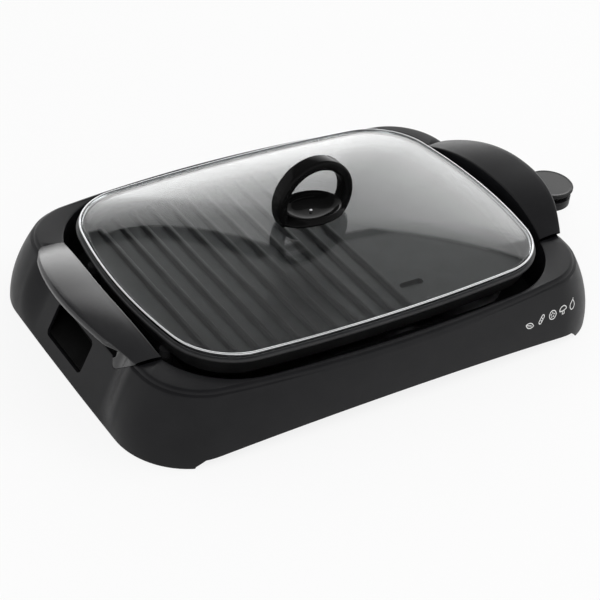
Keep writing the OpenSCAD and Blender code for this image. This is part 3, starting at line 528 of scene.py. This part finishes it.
# %% [markdown]
# ### The seam of a handle
# Seen from the end, the seam runs down from the rim, slants inward to a rounded hook and comes
# up to the seat that carries the handle. One profile with a clearance c serves both parts: with
# 0 it cuts the housing, and with half a millimetre it trims the handle.

# %% Seam and seat
SEAT_Z, HOOK_Z, HOOK_Y, HOOK_W = 52, 42, 60, 7
SEAT_X = facet_x(SEAT_Z) - 2.5
SEAM_TOP_Z, ABOVE_ALL = BODY_H + 1.5, 100


def both_sides(half):
    return half + [(-y, z) for y, z in reversed(half)]


def seam(c):
    """The seam seen from the end: it slants down to a hook on either side."""
    top, tip, inner = (HANDLE_HALF - c, SEAM_TOP_Z), (HOOK_Y, HOOK_Z + c), (HOOK_Y - HOOK_W, SEAT_Z + c)
    hook = []
    for i in range(7):                         # a quadratic curve rounds the tip of the hook
        t = i / 6
        hook.append(tuple((1 - t) ** 2 * mix(b, a, 0.16) + 2 * t * (1 - t) * b + t * t * mix(b, d, 0.6)
                          for a, b, d in zip(top, tip, inner)))
    return both_sides([(HANDLE_HALF - c, ABOVE_ALL), top] + hook + [inner])


def seat(c):
    """The plain seat inside the wall, as wide as the handle."""
    return both_sides([(HANDLE_HALF - c, ABOVE_ALL), (HANDLE_HALF - c, SEAT_Z + c)])


def seat_within_seam(c):
    """What seat and seam have in common: the room through the wall, without the hooks."""
    edge = HANDLE_HALF - c
    share = (SEAM_TOP_Z - SEAT_Z - c) / (SEAM_TOP_Z - HOOK_Z - c)
    return both_sides([(edge, ABOVE_ALL), (edge, SEAM_TOP_Z), (mix(edge, HOOK_Y, share), SEAT_Z + c)])


def handle_space(s, c):
    """The three stretches of the room that a handle fills, from the well outward."""
    return [along_x(seat(c), s * (WELL_A - 40), s * (SEAT_X - c)),
            along_x(seat_within_seam(c), s * (WELL_A - 39), s * (WELL_A + 69)),
            along_x(seam(c), s * (SEAT_X + c), s * (WELL_A + 70))]


print("seam hooks reach down to z", HOOK_Z, "mm at y", HOOK_Y, "mm")

# %% [markdown]
# ### Seats, and the ledges that the handles are screwed to
# The seat is cut first. Then a ledge goes back in at its bottom, with a middle piece that meets
# the sloping wall. Both end just short of the seat's own planes.

# %% Cut the seats and add their ledges
LEDGE_T, LEDGE_HALF, SHY = 3, 93, 0.07


def block(x0, x1, y0, y1, z0, z1):
    return prism([(x0, y0), (x1, y0), (x1, y1), (x0, y1)], z0, z1)


for s in (1, -1):
    for part in handle_space(s, 0):
        combine(housing, part, "DIFFERENCE")
    inner = [(s * (end_x(WELL_SHAPE, y) + 1), y) for y in range(-LEDGE_HALF, LEDGE_HALF + 1, 3)]
    outer = [(s * (SEAT_X - SHY), LEDGE_HALF), (s * (SEAT_X - SHY), -LEDGE_HALF)]
    combine(housing, prism(inner + outer, SEAT_Z - LEDGE_T, SEAT_Z - 0.04), "UNION")
    combine(housing, block(s * (SEAT_X - 3), s * (SEAT_X + 1), -51, 51, SEAT_Z - 2.9, SEAT_Z - 0.1), "UNION")
print("housing with its seats:", len(housing.data.polygons), "faces")

# %% [markdown]
# ### Passage, posts, arch and window
# The controller passes through the right end. A post with a blind hole stands over each rubber
# foot. The window is cut last, after the edges are rounded, so its own edge stays crisp, and a
# small floor behind it keeps the table from shining through.

# %% Finish the housing
PASSAGE_HALF, PASSAGE_TOP = 30, 69
POST_X, POST_Y, POST_R, POST_HOLE_R = 204, 137, 9, 4.05
ARCH_HALF, ARCH_STEPS = 204, 24
bow = [(ARCH_HALF * i / ARCH_STEPS, 9 + 9 * (1 - (i / ARCH_STEPS) ** 2))
       for i in range(1 - ARCH_STEPS, ARCH_STEPS)]
ARCH = [(-214, -1), (-212, 3.2), (-ARCH_HALF, 9)] + bow + [(ARCH_HALF, 9), (212, 3.2), (214, -1)]


def passage(bottom):
    half = PASSAGE_HALF
    return [(-half, bottom), (half, bottom), (half, PASSAGE_TOP), (-half, PASSAGE_TOP)]


def window_ring(reach):
    """The window's edge, moved through the sloping wall; its sill falls away inwards."""
    return [(reach - facet_x(z), y, z - 0.3 * reach) for y, z in WINDOW]


combine(housing, along_x(passage(27), WELL_A - 20, FOOT_A + 5), "DIFFERENCE")
for sx in (1, -1):
    for sy in (1, -1):
        combine(housing, prism(circle(sx * POST_X, sy * POST_Y, POST_R), 3.4, 62), "UNION")
        combine(housing, prism(circle(sx * POST_X, sy * POST_Y, POST_HOLE_R), 1, 14), "DIFFERENCE")
combine(housing, along_y(ARCH, -RIM_B * 2, RIM_B * 2), "DIFFERENCE")
soften(housing, 0.7)
combine(housing, block(-250, -226, -50, 74, 1.5, 3.0), "UNION")
combine(housing, loft([window_ring(-6), window_ring(7)]), "DIFFERENCE")
finished(housing, "base", SATIN, ["base_housing"])

# %% [markdown]
# ## Printed signs on the front
# Five small white signs at the right of the front wall show what can be grilled: a leaf, a
# sausage, a slice of tomato, a mushroom and a pear. They are printed, so they have almost no
# thickness. An image texture would need a file, so each line is a thin ribbon of mesh that lies
# on the curved skin and sinks a little into it.

# %% Ribbons on the front wall
INK = finish_of("white_ink", (0.74, 0.74, 0.73), (0.82, 0.82, 0.81), (0.45, 0.55), 1500, 0.1, 0.4)
PROUD, SUNK = 0.1, -0.2    # a ribbon stands this much out of the skin, and reaches this far in


def on_front(x, z, proud):
    return x, -side_y(body_shape(z), x) - proud, z


def ribbon(points, cx, cz, width=0.9, closed=False):
    """A line drawn in a sign's own millimetres, around its middle at cx, cz."""
    n, rings = len(points), []
    for i, (u, v) in enumerate(points):
        before = points[i - 1] if closed or i else points[0]
        after = points[(i + 1) % n] if closed or i < n - 1 else points[-1]
        along = Vector((after[0] - before[0], after[1] - before[1])).normalized() * width / 2
        one, other = (cx + u - along.y, cz + v + along.x), (cx + u + along.y, cz + v - along.x)
        rings.append([on_front(*one, PROUD), on_front(*other, PROUD),
                      on_front(*other, SUNK), on_front(*one, SUNK)])
    return loft(rings, closed=closed)


def round_line(r, n=28, start=0, stop=360, squeeze=1.0, power=0.0):
    """A circle, an arc, or with power a pear-like closed line."""
    points = []
    for i in range(n if stop - start == 360 else n + 1):
        w = math.radians(start + (stop - start) * i / n)
        narrow = 1 - power * max(0.0, math.sin(w)) ** 1.2
        points.append((r * squeeze * math.cos(w) * narrow, r * math.sin(w)))
    return points


def turned(points, degrees):
    c, s = math.cos(math.radians(degrees)), math.sin(math.radians(degrees))
    return [(u * c - v * s, u * s + v * c) for u, v in points]


print("a ring of ribbon has", len(round_line(4.4)), "points")

# %% [markdown]
# Each sign is a list of lines, open or closed, around the place where its middle lies on the
# wall. The shapes are plain: a pointed oval, a rounded bar with two cuts, a ring with five seeds,
# a cap on a stalk and a pear with its stem.

# %% Draw the five signs
LEAF_TURN, SAUSAGE_TURN = -20, 55
around = [i * math.tau / 28 for i in range(28)]
leaf = [(5 * math.cos(w), 2.6 * math.sin(w) * abs(math.sin(w)) ** 0.5) for w in around]
sausage = ([(3 + u, v) for u, v in round_line(1.7, 8, -90, 90)]
           + [(u - 3, v) for u, v in round_line(1.7, 8, 90, 270)])
cuts = [[(-1.6, -0.8), (-0.8, 0.8)], [(0.8, -0.8), (1.6, 0.8)]]
cap = [(u, v * 0.9) for u, v in round_line(4.6, 18, 0, 180)] + [(-1.2, -0.6), (1.2, -0.6)]
pear = round_line(4.4, 28, 0, 360, 0.82, 0.55)
signs = [
    (145.2, 38.2, [(turned(leaf, LEAF_TURN), True), (turned([(-5, 0), (2.5, 0)], LEAF_TURN), False)]),
    (160.3, 40.0, [(turned(sausage, SAUSAGE_TURN), True)]
     + [(turned(cut, SAUSAGE_TURN), False) for cut in cuts]),
    (174.8, 40.0, [(round_line(4.4), True)]
     + [(turned([(1.2, 0), (3, 0)], a), False) for a in (20, 92, 164, 236, 308)]),
    (188.6, 40.6, [(turned(cap, 8), True), ([(-1.2, -0.8), (-1.3, -4), (1.3, -4), (1.2, -0.8)], False)]),
    (202.0, 41.0, [(turned(pear, -12), True), ([(0.9, 4.2), (1.8, 6)], False)]),
]
print_verts, print_faces = [], []
for x, z, lines in signs:
    for points, closed in lines:
        verts, faces = ribbon(points, x, z, closed=closed)
        print_faces += [tuple(k + len(print_verts) for k in face) for face in faces]
        print_verts += verts
printed_signs = raw_object("printed_signs", (print_verts, print_faces))
finished(printed_signs, "base", INK)

# %% [markdown]
# ## The two handles
# A handle is a bridge over a space for the fingers. It rises in an arch from seam to seam, bows
# outward, and ends in a rounded lip. It is lofted section by section along Y, so the arch, the
# bow and the lip stay smooth. Then it is trimmed by the housing's own seam, a little smaller,
# which leaves the thin dark joint of a real fitted part.

# %% Handle arch and bow
REACH, RISE = 24, 23.2     # outward and upward from the rim, at the handle's middle
TILT, ARCH_POWER = 6, 2.5  # the top falls this much towards the well; how flat the arch is
STEP = 2.6                 # the handle stands this much above the rim at its seams


def handle_z(y, end_z, top_z):
    return mix(end_z, top_z, 1 - (abs(y) / HANDLE_HALF) ** ARCH_POWER)


def handle_x(y):
    start = end_x(body_shape(BODY_H), HANDLE_HALF) + 1.5
    sag = RIM_A + REACH - start
    r = (HANDLE_HALF ** 2 + sag * sag) / (2 * sag)
    return RIM_A + REACH - r + math.sqrt(r * r - y * y)


print("handle reach at its middle:", round(handle_x(0), 1), "mm")

# %% [markdown]
# A section starts at the well, crosses the crowned top, goes round the outer edge and down the
# lip, into the finger space and back out to the skin. Towards the ends the finger space closes
# and the lip melts into the skin, by smooth shares between the two places of each point.

# %% Handle sections
HOLD_END, HOLD_FADE = 60, 22           # the finger space closes over this stretch
HOLD_WALL, HANDLE_T = 5.5, 4.5
LIP_H, LIP_R = 9, 3.2      # depth of the lip and rounding of the outer edge


def handle_section(y, c):
    xi, xo, top = end_x(WELL_SHAPE, y), handle_x(y), BODY_H + RISE
    zi, zo = handle_z(y, WELL_EDGE_Z + STEP, top - TILT), handle_z(y, BODY_H + STEP, top)
    e = smooth((abs(y) - HANDLE_HALF + FADE) / FADE)       # the lip fades into the skin
    k = smooth((HOLD_END - abs(y)) / HOLD_FADE)            # the finger space closes
    floor_z = SEAT_Z + mix(3, -2, smooth((HOOK_Y - abs(y)) / HOOK_W))
    foot_z, under = floor_z - 3 + c, zo - LIP_H
    points = [(xi, foot_z), (xi, zi - 1.4)]
    points += [(xi + 1.6 * (1 - math.cos(w)), zi - 1.4 * (1 - math.sin(w))) for w in (0.4, 0.8, 1.2, 1.57)]
    for i in range(1, 9):                                  # crowned top
        t = i / 9
        points.append((mix(xi + 1.6, xo - LIP_R, t), mix(zi, zo, t) + 2.8 * t * (1 - t)))
    for i in range(0, 7):                                  # rounded outer edge
        w = math.radians(90 - 15 * i)
        x, z = xo - LIP_R + LIP_R * math.cos(w), zo - LIP_R * (1 - math.sin(w))
        points.append((mix(x, skin_x(y, z), e * (1 - math.sin(w)) ** 2), z))
    for d, down in [(0.1, 4.6), (0.5, 6.6), (1.2, 8.0), (2.2, 8.8), (3.2, LIP_H)]:
        points.append((mix(xo - d, skin_x(y, zo - down), e), zo - down))
    for x, z, shut in [                                    # finger space: open place, closed height
            (xo - 4, zo - HANDLE_T - 1, under - 0.7), (xo - 6.5, zo - HANDLE_T - 0.2, under - 1.3),
            (xi + HOLD_WALL + 1.5, zi - HANDLE_T, under - 1.7),
            (xi + HOLD_WALL, zi - HANDLE_T - 1.5, under - 2), (xi + HOLD_WALL, floor_z + 0.5, floor_z + 0.5)]:
        points.append((mix(skin_x(y, shut), x, k), mix(shut, z, k)))
    points += [(skin_x(y, z), z) for z in (floor_z, floor_z - 2, HOOK_Z - 2)]
    points += [(skin_x(y, z) - 3, z) for z in (HOOK_Z - 2, foot_z)]
    return [(x, y, z) for x, z in points]


def handle_shape(s, c, steps=120):
    stops = [mix(c - HANDLE_HALF, HANDLE_HALF - c, i / steps) for i in range(steps + 1)]
    return loft([[(s * x, y, z) for x, y, z in handle_section(y, c)] for y in stops])


print("points in a handle section:", len(handle_section(0, 0)))

# %% [markdown]
# The three stretches of the seat are joined into one solid, and the handle keeps what lies in
# it. The right handle bridges the controller, so the passage is cut through it as well.

# %% Trim the handles to their seats
JOINT = 0.5                # the dark joint between handle and housing


def make_handle(name, s):
    o = raw_object(name, handle_shape(s, JOINT))
    parts = handle_space(s, JOINT)
    space = raw_object("space", parts[0])
    combine(space, parts[1], "UNION")
    combine(space, parts[2], "UNION")
    with_object(o, space, "INTERSECT")
    return o


left_grip = make_handle("left_grip", -1)
soften(left_grip, 0.5, angle=50)
# the left handle takes the lit copy of the handle plastic, with its painted sheen
finished(left_grip, "base", LIT_HANDLE_SHEEN, ["left_handle"])
right_grip = make_handle("right_grip", 1)
combine(right_grip, along_x(passage(22), WELL_A - 20, FOOT_A + 20), "DIFFERENCE")
soften(right_grip, 0.5, angle=50)
finished(right_grip, "base", HANDLE_RIGHT, ["right_handle"])

# %% [markdown]
# ## The grill plate
# A cast aluminium dish with a flange that carries the lid, cooking ribs on the left two thirds,
# a flat griddle on the right, and a slot that drains into the tray. The ribs are cast with round
# crests, so each is a short loft with a rounded section, joined to the dish.

# %% Dish of the plate
PLATE = 2.5                # the plate reaches this far beyond the lid
COOK_Z = 63


def dish_rings():
    outer = [(-14.5, 57), (-11.5, 57), (-10.2, 57.5), (-9, 58.8), (-8.2, 60.5), (-2.9, 74.6), (-2.2, 75.6),
             (-0.8, 76.4), (0, 77.2), (0, 78.6), (-0.2, 79.1), (-0.7, 79.4), (-4.4, 79.4), (-5.0, 79.2),
             (-5.5, 78.5), (-10.6, 66.4), (-11.6, 64.6), (-13, 63.4), (-15, 63), (-30, 63)]
    return [lift(lid_outline(PLATE + o), z) for o, z in outer]


plate = raw_object("plate_casting", loft(dish_rings()))
print("dish:", len(plate.data.polygons), "faces")

# %% [markdown]
# A rib's section is 8 mm wide and 4 mm high with a rounded crest. At either end it sinks into the
# dish over a few millimetres, as a cast rib does. The slot for the fat is cut with round ends.

# %% Ribs
RIB_PITCH, RIB_HALF_W, RIB_COUNT, FIRST_RIB_X = 20, 4, 11, -165


def rib_half(x):
    """The ribs stop a little short of the dish's wall."""
    return side_y((LID_A + PLATE - 16, LID_B + PLATE - 16, LID_R - 12, *LID_BOWS), x)


def rib(x):
    half, w = rib_half(x) - 2, RIB_HALF_W
    section = [(-w, -0.5), (w, -0.5), (w - 0.6, 0.3), (w - 1.4, 1.6), (w - 1.9, 3.0),
               (1.5, 3.75), (0.6, 4.0), (-0.6, 4.0), (-1.5, 3.75),
               (1.9 - w, 3.0), (1.4 - w, 1.6), (0.6 - w, 0.3)]
    rings = []
    for y, k in [(-half, 0.05), (-half + 0.8, 0.45), (-half + 2.2, 0.8), (-half + 4, 1.0),
                 (half - 4, 1.0), (half - 2.2, 0.8), (half - 0.8, 0.45), (half, 0.05)]:
        rings.append([(x + px * mix(0.6, 1, k), y, COOK_Z + (pz * k if pz > 0 else pz))
                      for px, pz in section])
    return loft(rings)


for i in range(RIB_COUNT):
    combine(plate, rib(FIRST_RIB_X + RIB_PITCH * i), "UNION")
combine(plate, prism(round_rect(58, -92, 26, 8, 3.9), 50, 70), "DIFFERENCE")
print("plate with ribs:", len(plate.data.polygons), "faces")

# %% [markdown]
# Under the plate a cast bead with a channel in it holds the heating element, four rests stand on
# the well's floor, and a socket takes the controller's probe. None of it shows with the plate in
# place, but the plate lifts out.

# %% Underside of the plate: element channel, rests and probe socket
PROBE_Z, PROBE_R, SOCKET_R = 46, 3.05, 7
ROOT_Z = 57.5              # everything cast on below ends inside the plate's floor


def loop_outline(w):
    return round_rect(0, 0, 290 + w, 176 + w, 40 + w / 2, 10)


def loop(name, width, z0, z1, beyond):
    """A closed band of this width along the element's loop."""
    band = raw_object(name, prism(loop_outline(width), z0, z1))
    combine(band, prism(loop_outline(-width), *beyond), "DIFFERENCE")
    return band


bead = loop("bead", 12, 50.5, ROOT_Z, (40, 60))
with_object(bead, loop("channel", 6.5, 49, 55.75, (48, 57)), "DIFFERENCE")
combine(bead, block(105, 185, -24, 24, 49, 60), "DIFFERENCE")
with_object(plate, bead, "UNION")
for sx in (1, -1):
    for sy in (1, -1):
        combine(plate, prism(circle(sx * (WELL_A - 28), sy * 70, 5.5), 50.2, ROOT_Z), "UNION")
socket = [(SOCKET_R * math.cos(w), PROBE_Z + SOCKET_R * math.sin(w))
          for w in [math.pi + i * math.pi / 16 for i in range(17)]]
combine(plate, along_x(socket + [(SOCKET_R, ROOT_Z), (-SOCKET_R, ROOT_Z)], 132, 170), "UNION")
combine(plate, along_x(circle(0, PROBE_Z, PROBE_R), 136, 196), "DIFFERENCE")
finished(plate, "plate", NONSTICK, ["grill_plate"])

# %% [markdown]
# ## The glass lid and its steel band
# The glass rises 17 mm from its edge to its middle and is held by a rolled steel band. Each of
# its rings is the lid's outline drawn smaller, so the dome keeps the outline's own bow. The
# dome bends light from all round the studio, so many rings matter more here than anywhere.

# %% Glass
GLASS_Z, GLASS_T, DOME = 80.5, 4, 17


def glass_ring(s, up):
    z = GLASS_Z + up + DOME * (1 - s ** 2.6)
    return lift([(x * s, y * s) for x, y in lid_outline(-6)], z)


scales = [math.cos(i * math.pi / 72) for i in range(36)] + [0.03]
under = [glass_ring(s, 0) for s in reversed(scales)]
rim = [lift(lid_outline(o), GLASS_Z + up) for o, up in [(-1.6, 0), (-1.0, 0.7), (-1.0, 3.3), (-1.6, 4)]]
over = [glass_ring(s, GLASS_T) for s in scales]
glass = raw_object("lid_dome", loft(under + rim + over, closed=True))
finished(glass, "lid", GLASS, ["lid_glass"], angle=50)

# %% [markdown]
# The band is a thin steel strip rolled over the glass at the top and the bottom, so its section
# is a C. A tube would look too soft: the real one has a flat face and two small radii.

# %% Band
def band_rings():
    z0, z1, t, r = 79.6, 85.3, 0.8, 0.9        # lower and upper face, strip thickness, edge rounding
    turns = [math.radians(15 * i) for i in range(7)]
    outer = [(-r * (1 - math.cos(w)), z0 + r * (1 - math.sin(w))) for w in reversed(turns)]
    outer += [(-r * (1 - math.cos(w)), z1 - r * (1 - math.sin(w))) for w in turns]
    lip = [(-1.5, z1 - 0.1), (-1.8, z1 - 0.4), (-1.8, z1 - t)]
    inner = lip + [(-0.9, z1 - t), (-0.9, z0 + t), (-4.2, z0 + t), (-4.2, z0 + 0.2), (-4, z0)]
    return [lift(lid_outline(o), z) for o, z in outer + inner]


band = raw_object("lid_trim", loft(band_rings(), closed=True))
finished(band, "lid", STEEL, ["lid_band"], angle=25)

# %% [markdown]
# ## The ring knob
# A glossy ring stands on an oval saucer, wide enough for a finger. Its section is a rounded
# bar, 10 mm thick and 16 mm deep. The ring is swept round its own centre and the saucer is
# lofted from ovals, then the two are joined so that no skin is hidden inside.

# %% Ring and saucer
RING_R, RING_Z = 36.4, 122.6
RING_FOOT = 31             # the ring goes this many degrees below its own middle, into the saucer


def oval(l, w, z, n=72):
    return [(l / 2 * math.cos(i * math.tau / n), w / 2 * math.sin(i * math.tau / n), z) for i in range(n)]


def ring_sweep(steps=96):
    section = round_rect(0, 0, 10, 16, 2.9, 6)
    rings = []
    for i in range(steps + 1):
        w = math.radians(mix(-RING_FOOT, 180 + RING_FOOT, i / steps))
        rings.append([((RING_R + r) * math.cos(w), d, RING_Z + (RING_R + r) * math.sin(w))
                      for r, d in section])
    return loft(rings)


saucer = [(72, 40, 102.7), (72.6, 40.6, 103.3), (72.6, 40.6, 104.6), (71, 39.6, 105.5),     # foot
          (67, 38.2, 106.6), (60, 36.6, 108), (55, 36, 109.6), (57, 38.5, 111),              # waist
          (60.4, 44.6, 112.2), (61.6, 47.4, 112.9), (62, 48, 113.4), (61.6, 47.6, 113.8),    # lip
          (60.6, 46.6, 113.95), (58.8, 44.8, 113.6), (56, 42, 112.2), (51, 37, 109.6),       # dish
          (43, 30, 107.4), (32, 21, 106.2), (18, 11, 105.8)]
knob = raw_object("knob_ring", loft([oval(*row) for row in saucer]))
combine(knob, ring_sweep(), "UNION")
soften(knob, 0.5, angle=50)
print("knob:", len(knob.data.polygons), "faces")

# %% [markdown]
# The knob is the glossiest black on the grill, but its dish should not light up like a mirror,
# so its reflection is held low.

# %% Finish of the knob
KNOB = finish_of("knob_black", (0.003, 0.003, 0.003), (0.004, 0.004, 0.004),
                 (0.10, 0.14), 900, 0.01, 0.07)
finished(knob, "lid", KNOB, ["lid_knob"], angle=35)

# %% [markdown]
# ## The studio
# The photograph has a white ground and no visible wall. The floor is a pale matt sheet that
# keeps the shadow, and shows white to the camera and in reflections. Behind the grill stands a
# light wall, brighter low down, which gives the glass its white sheen that ends in a soft line.

# %% Floor
def add_plane(name, corners, material):
    mesh = bpy.data.meshes.new(name)
    mesh.from_pydata([Vector(c) for c in corners], [], [(0, 1, 2, 3)])
    mesh.materials.append(material)
    o = bpy.data.objects.new(name, mesh)
    bpy.context.scene.collection.objects.link(o)
    return o


def mirrored_rays(tree):
    """1 for rays that come by a reflection or through glass, 0 for the others."""
    path = tree.nodes.new("ShaderNodeLightPath")
    add = tree.nodes.new("ShaderNodeMath")
    add.operation, add.use_clamp = "ADD", True
    tree.links.new(path.outputs["Is Glossy Ray"], add.inputs[0])
    tree.links.new(path.outputs["Is Transmission Ray"], add.inputs[1])
    return add.outputs[0]


def camera_rays(tree):
    return tree.nodes.new("ShaderNodeLightPath").outputs["Is Camera Ray"]


FLOOR_GLOW, FLOOR_MIRRORED = 0.85, 0.55    # how much of the floor is plain white, and in reflections


def floor_material():
    m, tree, shader = new_material("floor")
    shader.inputs["Base Color"].default_value = (0.86, 0.86, 0.86, 1)
    shader.inputs["Roughness"].default_value = 0.9
    shader.inputs["Specular IOR Level"].default_value = 0.0
    glow = tree.nodes.new("ShaderNodeEmission")
    glow.inputs["Color"].default_value = (1, 1, 1, 1)
    share = tree.nodes.new("ShaderNodeMath")
    share.operation = "MULTIPLY"
    share.inputs[1].default_value = FLOOR_GLOW
    seen = tree.nodes.new("ShaderNodeMath")
    seen.operation, seen.use_clamp = "MULTIPLY_ADD", True
    seen.inputs[1].default_value = FLOOR_MIRRORED
    tree.links.new(mirrored_rays(tree), seen.inputs[0])
    tree.links.new(camera_rays(tree), seen.inputs[2])
    tree.links.new(seen.outputs[0], share.inputs[0])
    blend = tree.nodes.new("ShaderNodeMixShader")
    tree.links.new(share.outputs[0], blend.inputs[0])
    tree.links.new(shader.outputs[0], blend.inputs[1])
    tree.links.new(glow.outputs[0], blend.inputs[2])
    tree.links.new(blend.outputs[0], tree.nodes["Material Output"].inputs["Surface"])
    return m


floor = add_plane("floor", [(-8, -8, 0), (8, -8, 0), (8, 8, 0), (-8, 8, 0)], floor_material())
print("floor, m:", [round(v, 1) for v in floor.dimensions])

# %% [markdown]
# The world is white where the camera, glass or metal sees it low down, and a dim ceiling above,
# as in a real studio. For plain lighting it is an even grey.

# %% World
CEILING, GAP = 0.28, 0.03  # greys of the ceiling and of the dark gap between light wall and ceiling


def make_world():
    world = bpy.data.worlds.new("studio")
    bpy.context.scene.world = world
    world.use_nodes = True
    tree = world.node_tree
    tree.nodes.clear()
    out = tree.nodes.new("ShaderNodeOutputWorld")
    even = tree.nodes.new("ShaderNodeBackground")
    even.inputs["Color"].default_value = (0.55, 0.55, 0.55, 1)
    white = tree.nodes.new("ShaderNodeBackground")
    white.inputs["Color"].default_value = (1, 1, 1, 1)
    where = tree.nodes.new("ShaderNodeTexCoord")
    split = tree.nodes.new("ShaderNodeSeparateXYZ")
    ramp = tree.nodes.new("ShaderNodeValToRGB")
    bands = ramp.color_ramp.elements
    bands[0].position, bands[0].color = 0.598, (1, 1, 1, 1)
    bands[1].position, bands[1].color = 0.634, (*grey(CEILING), 1)
    for position in (0.603, 0.629):
        bands.new(position).color = (*grey(GAP), 1)
    tree.links.new(where.outputs["Generated"], split.inputs[0])
    tree.links.new(split.outputs["Z"], ramp.inputs["Fac"])
    studio = tree.nodes.new("ShaderNodeBackground")
    tree.links.new(ramp.outputs["Color"], studio.inputs["Color"])
    first = tree.nodes.new("ShaderNodeMixShader")
    tree.links.new(mirrored_rays(tree), first.inputs[0])
    tree.links.new(even.outputs[0], first.inputs[1])
    tree.links.new(studio.outputs[0], first.inputs[2])
    second = tree.nodes.new("ShaderNodeMixShader")
    tree.links.new(camera_rays(tree), second.inputs[0])
    tree.links.new(first.outputs[0], second.inputs[1])
    tree.links.new(white.outputs[0], second.inputs[2])
    tree.links.new(second.outputs[0], out.inputs["Surface"])


make_world()
print("world:", bpy.context.scene.world.name)

# %% [markdown]
# The light wall is curved, glows more strongly low down than high up, and is hidden from the
# camera, so only glass and plastic see it. The glass mirrors it as the pale sheet that covers
# its far half.

# %% Light wall
WALL_TOP, WALL_FADE_FROM = 2.4, 0.7
WALL_BRIGHT, WALL_DIM = 2.9, 0.75
WALL_START, WALL_STOP, WALL_DISTANCE, WALL_STEPS = 30, 83, 3, 14


def wall_material():
    m, tree, shader = new_material("light_wall")
    tree.nodes.remove(shader)
    glow = tree.nodes.new("ShaderNodeEmission")
    where = tree.nodes.new("ShaderNodeTexCoord")
    split = tree.nodes.new("ShaderNodeSeparateXYZ")
    height = tree.nodes.new("ShaderNodeMapRange")
    for socket, value in [("From Min", WALL_FADE_FROM), ("From Max", WALL_TOP),
                          ("To Min", WALL_BRIGHT), ("To Max", WALL_DIM)]:
        height.inputs[socket].default_value = value
    tree.links.new(where.outputs["Object"], split.inputs[0])
    tree.links.new(split.outputs["Z"], height.inputs["Value"])
    tree.links.new(height.outputs[0], glow.inputs["Strength"])
    tree.links.new(glow.outputs[0], tree.nodes["Material Output"].inputs["Surface"])
    return m


def at_azimuth(degrees, distance, z):
    w = math.radians(degrees)
    return Vector((distance * math.cos(w), distance * math.sin(w), z))


turns = [mix(WALL_START, WALL_STOP, i / WALL_STEPS) for i in range(WALL_STEPS + 1)]
mesh = bpy.data.meshes.new("light_wall")
mesh.from_pydata([at_azimuth(a, WALL_DISTANCE, z) for z in (0.02, WALL_TOP) for a in turns], [],
                 [(i + 1, i, i + WALL_STEPS + 1, i + WALL_STEPS + 2) for i in range(WALL_STEPS)])
mesh.materials.append(wall_material())
wall = bpy.data.objects.new("light_wall", mesh)
bpy.context.scene.collection.objects.link(wall)
wall.visible_camera = False
print("light wall:", len(mesh.polygons), "panels")

# %% [markdown]
# Two softboxes give the plain level light and the soft shadow. They are kept out of reflections,
# because the photograph shows no square highlights.

# %% Softboxes
def softbox(name, position, size, power):
    light = bpy.data.lights.new(name, "AREA")
    light.shape, light.size, light.size_y, light.energy = "RECTANGLE", size, size, power
    o = bpy.data.objects.new(name, light)
    bpy.context.scene.collection.objects.link(o)
    o.location = position
    o.rotation_euler = (-Vector(position)).to_track_quat("-Z", "Y").to_euler()    # aimed at the origin
    o.visible_glossy = False


softbox("key_light", (-1.3, -1.5, 2.3), 1.4, 28)
softbox("fill_light", (1.6, -0.6, 1.8), 1.2, 12)
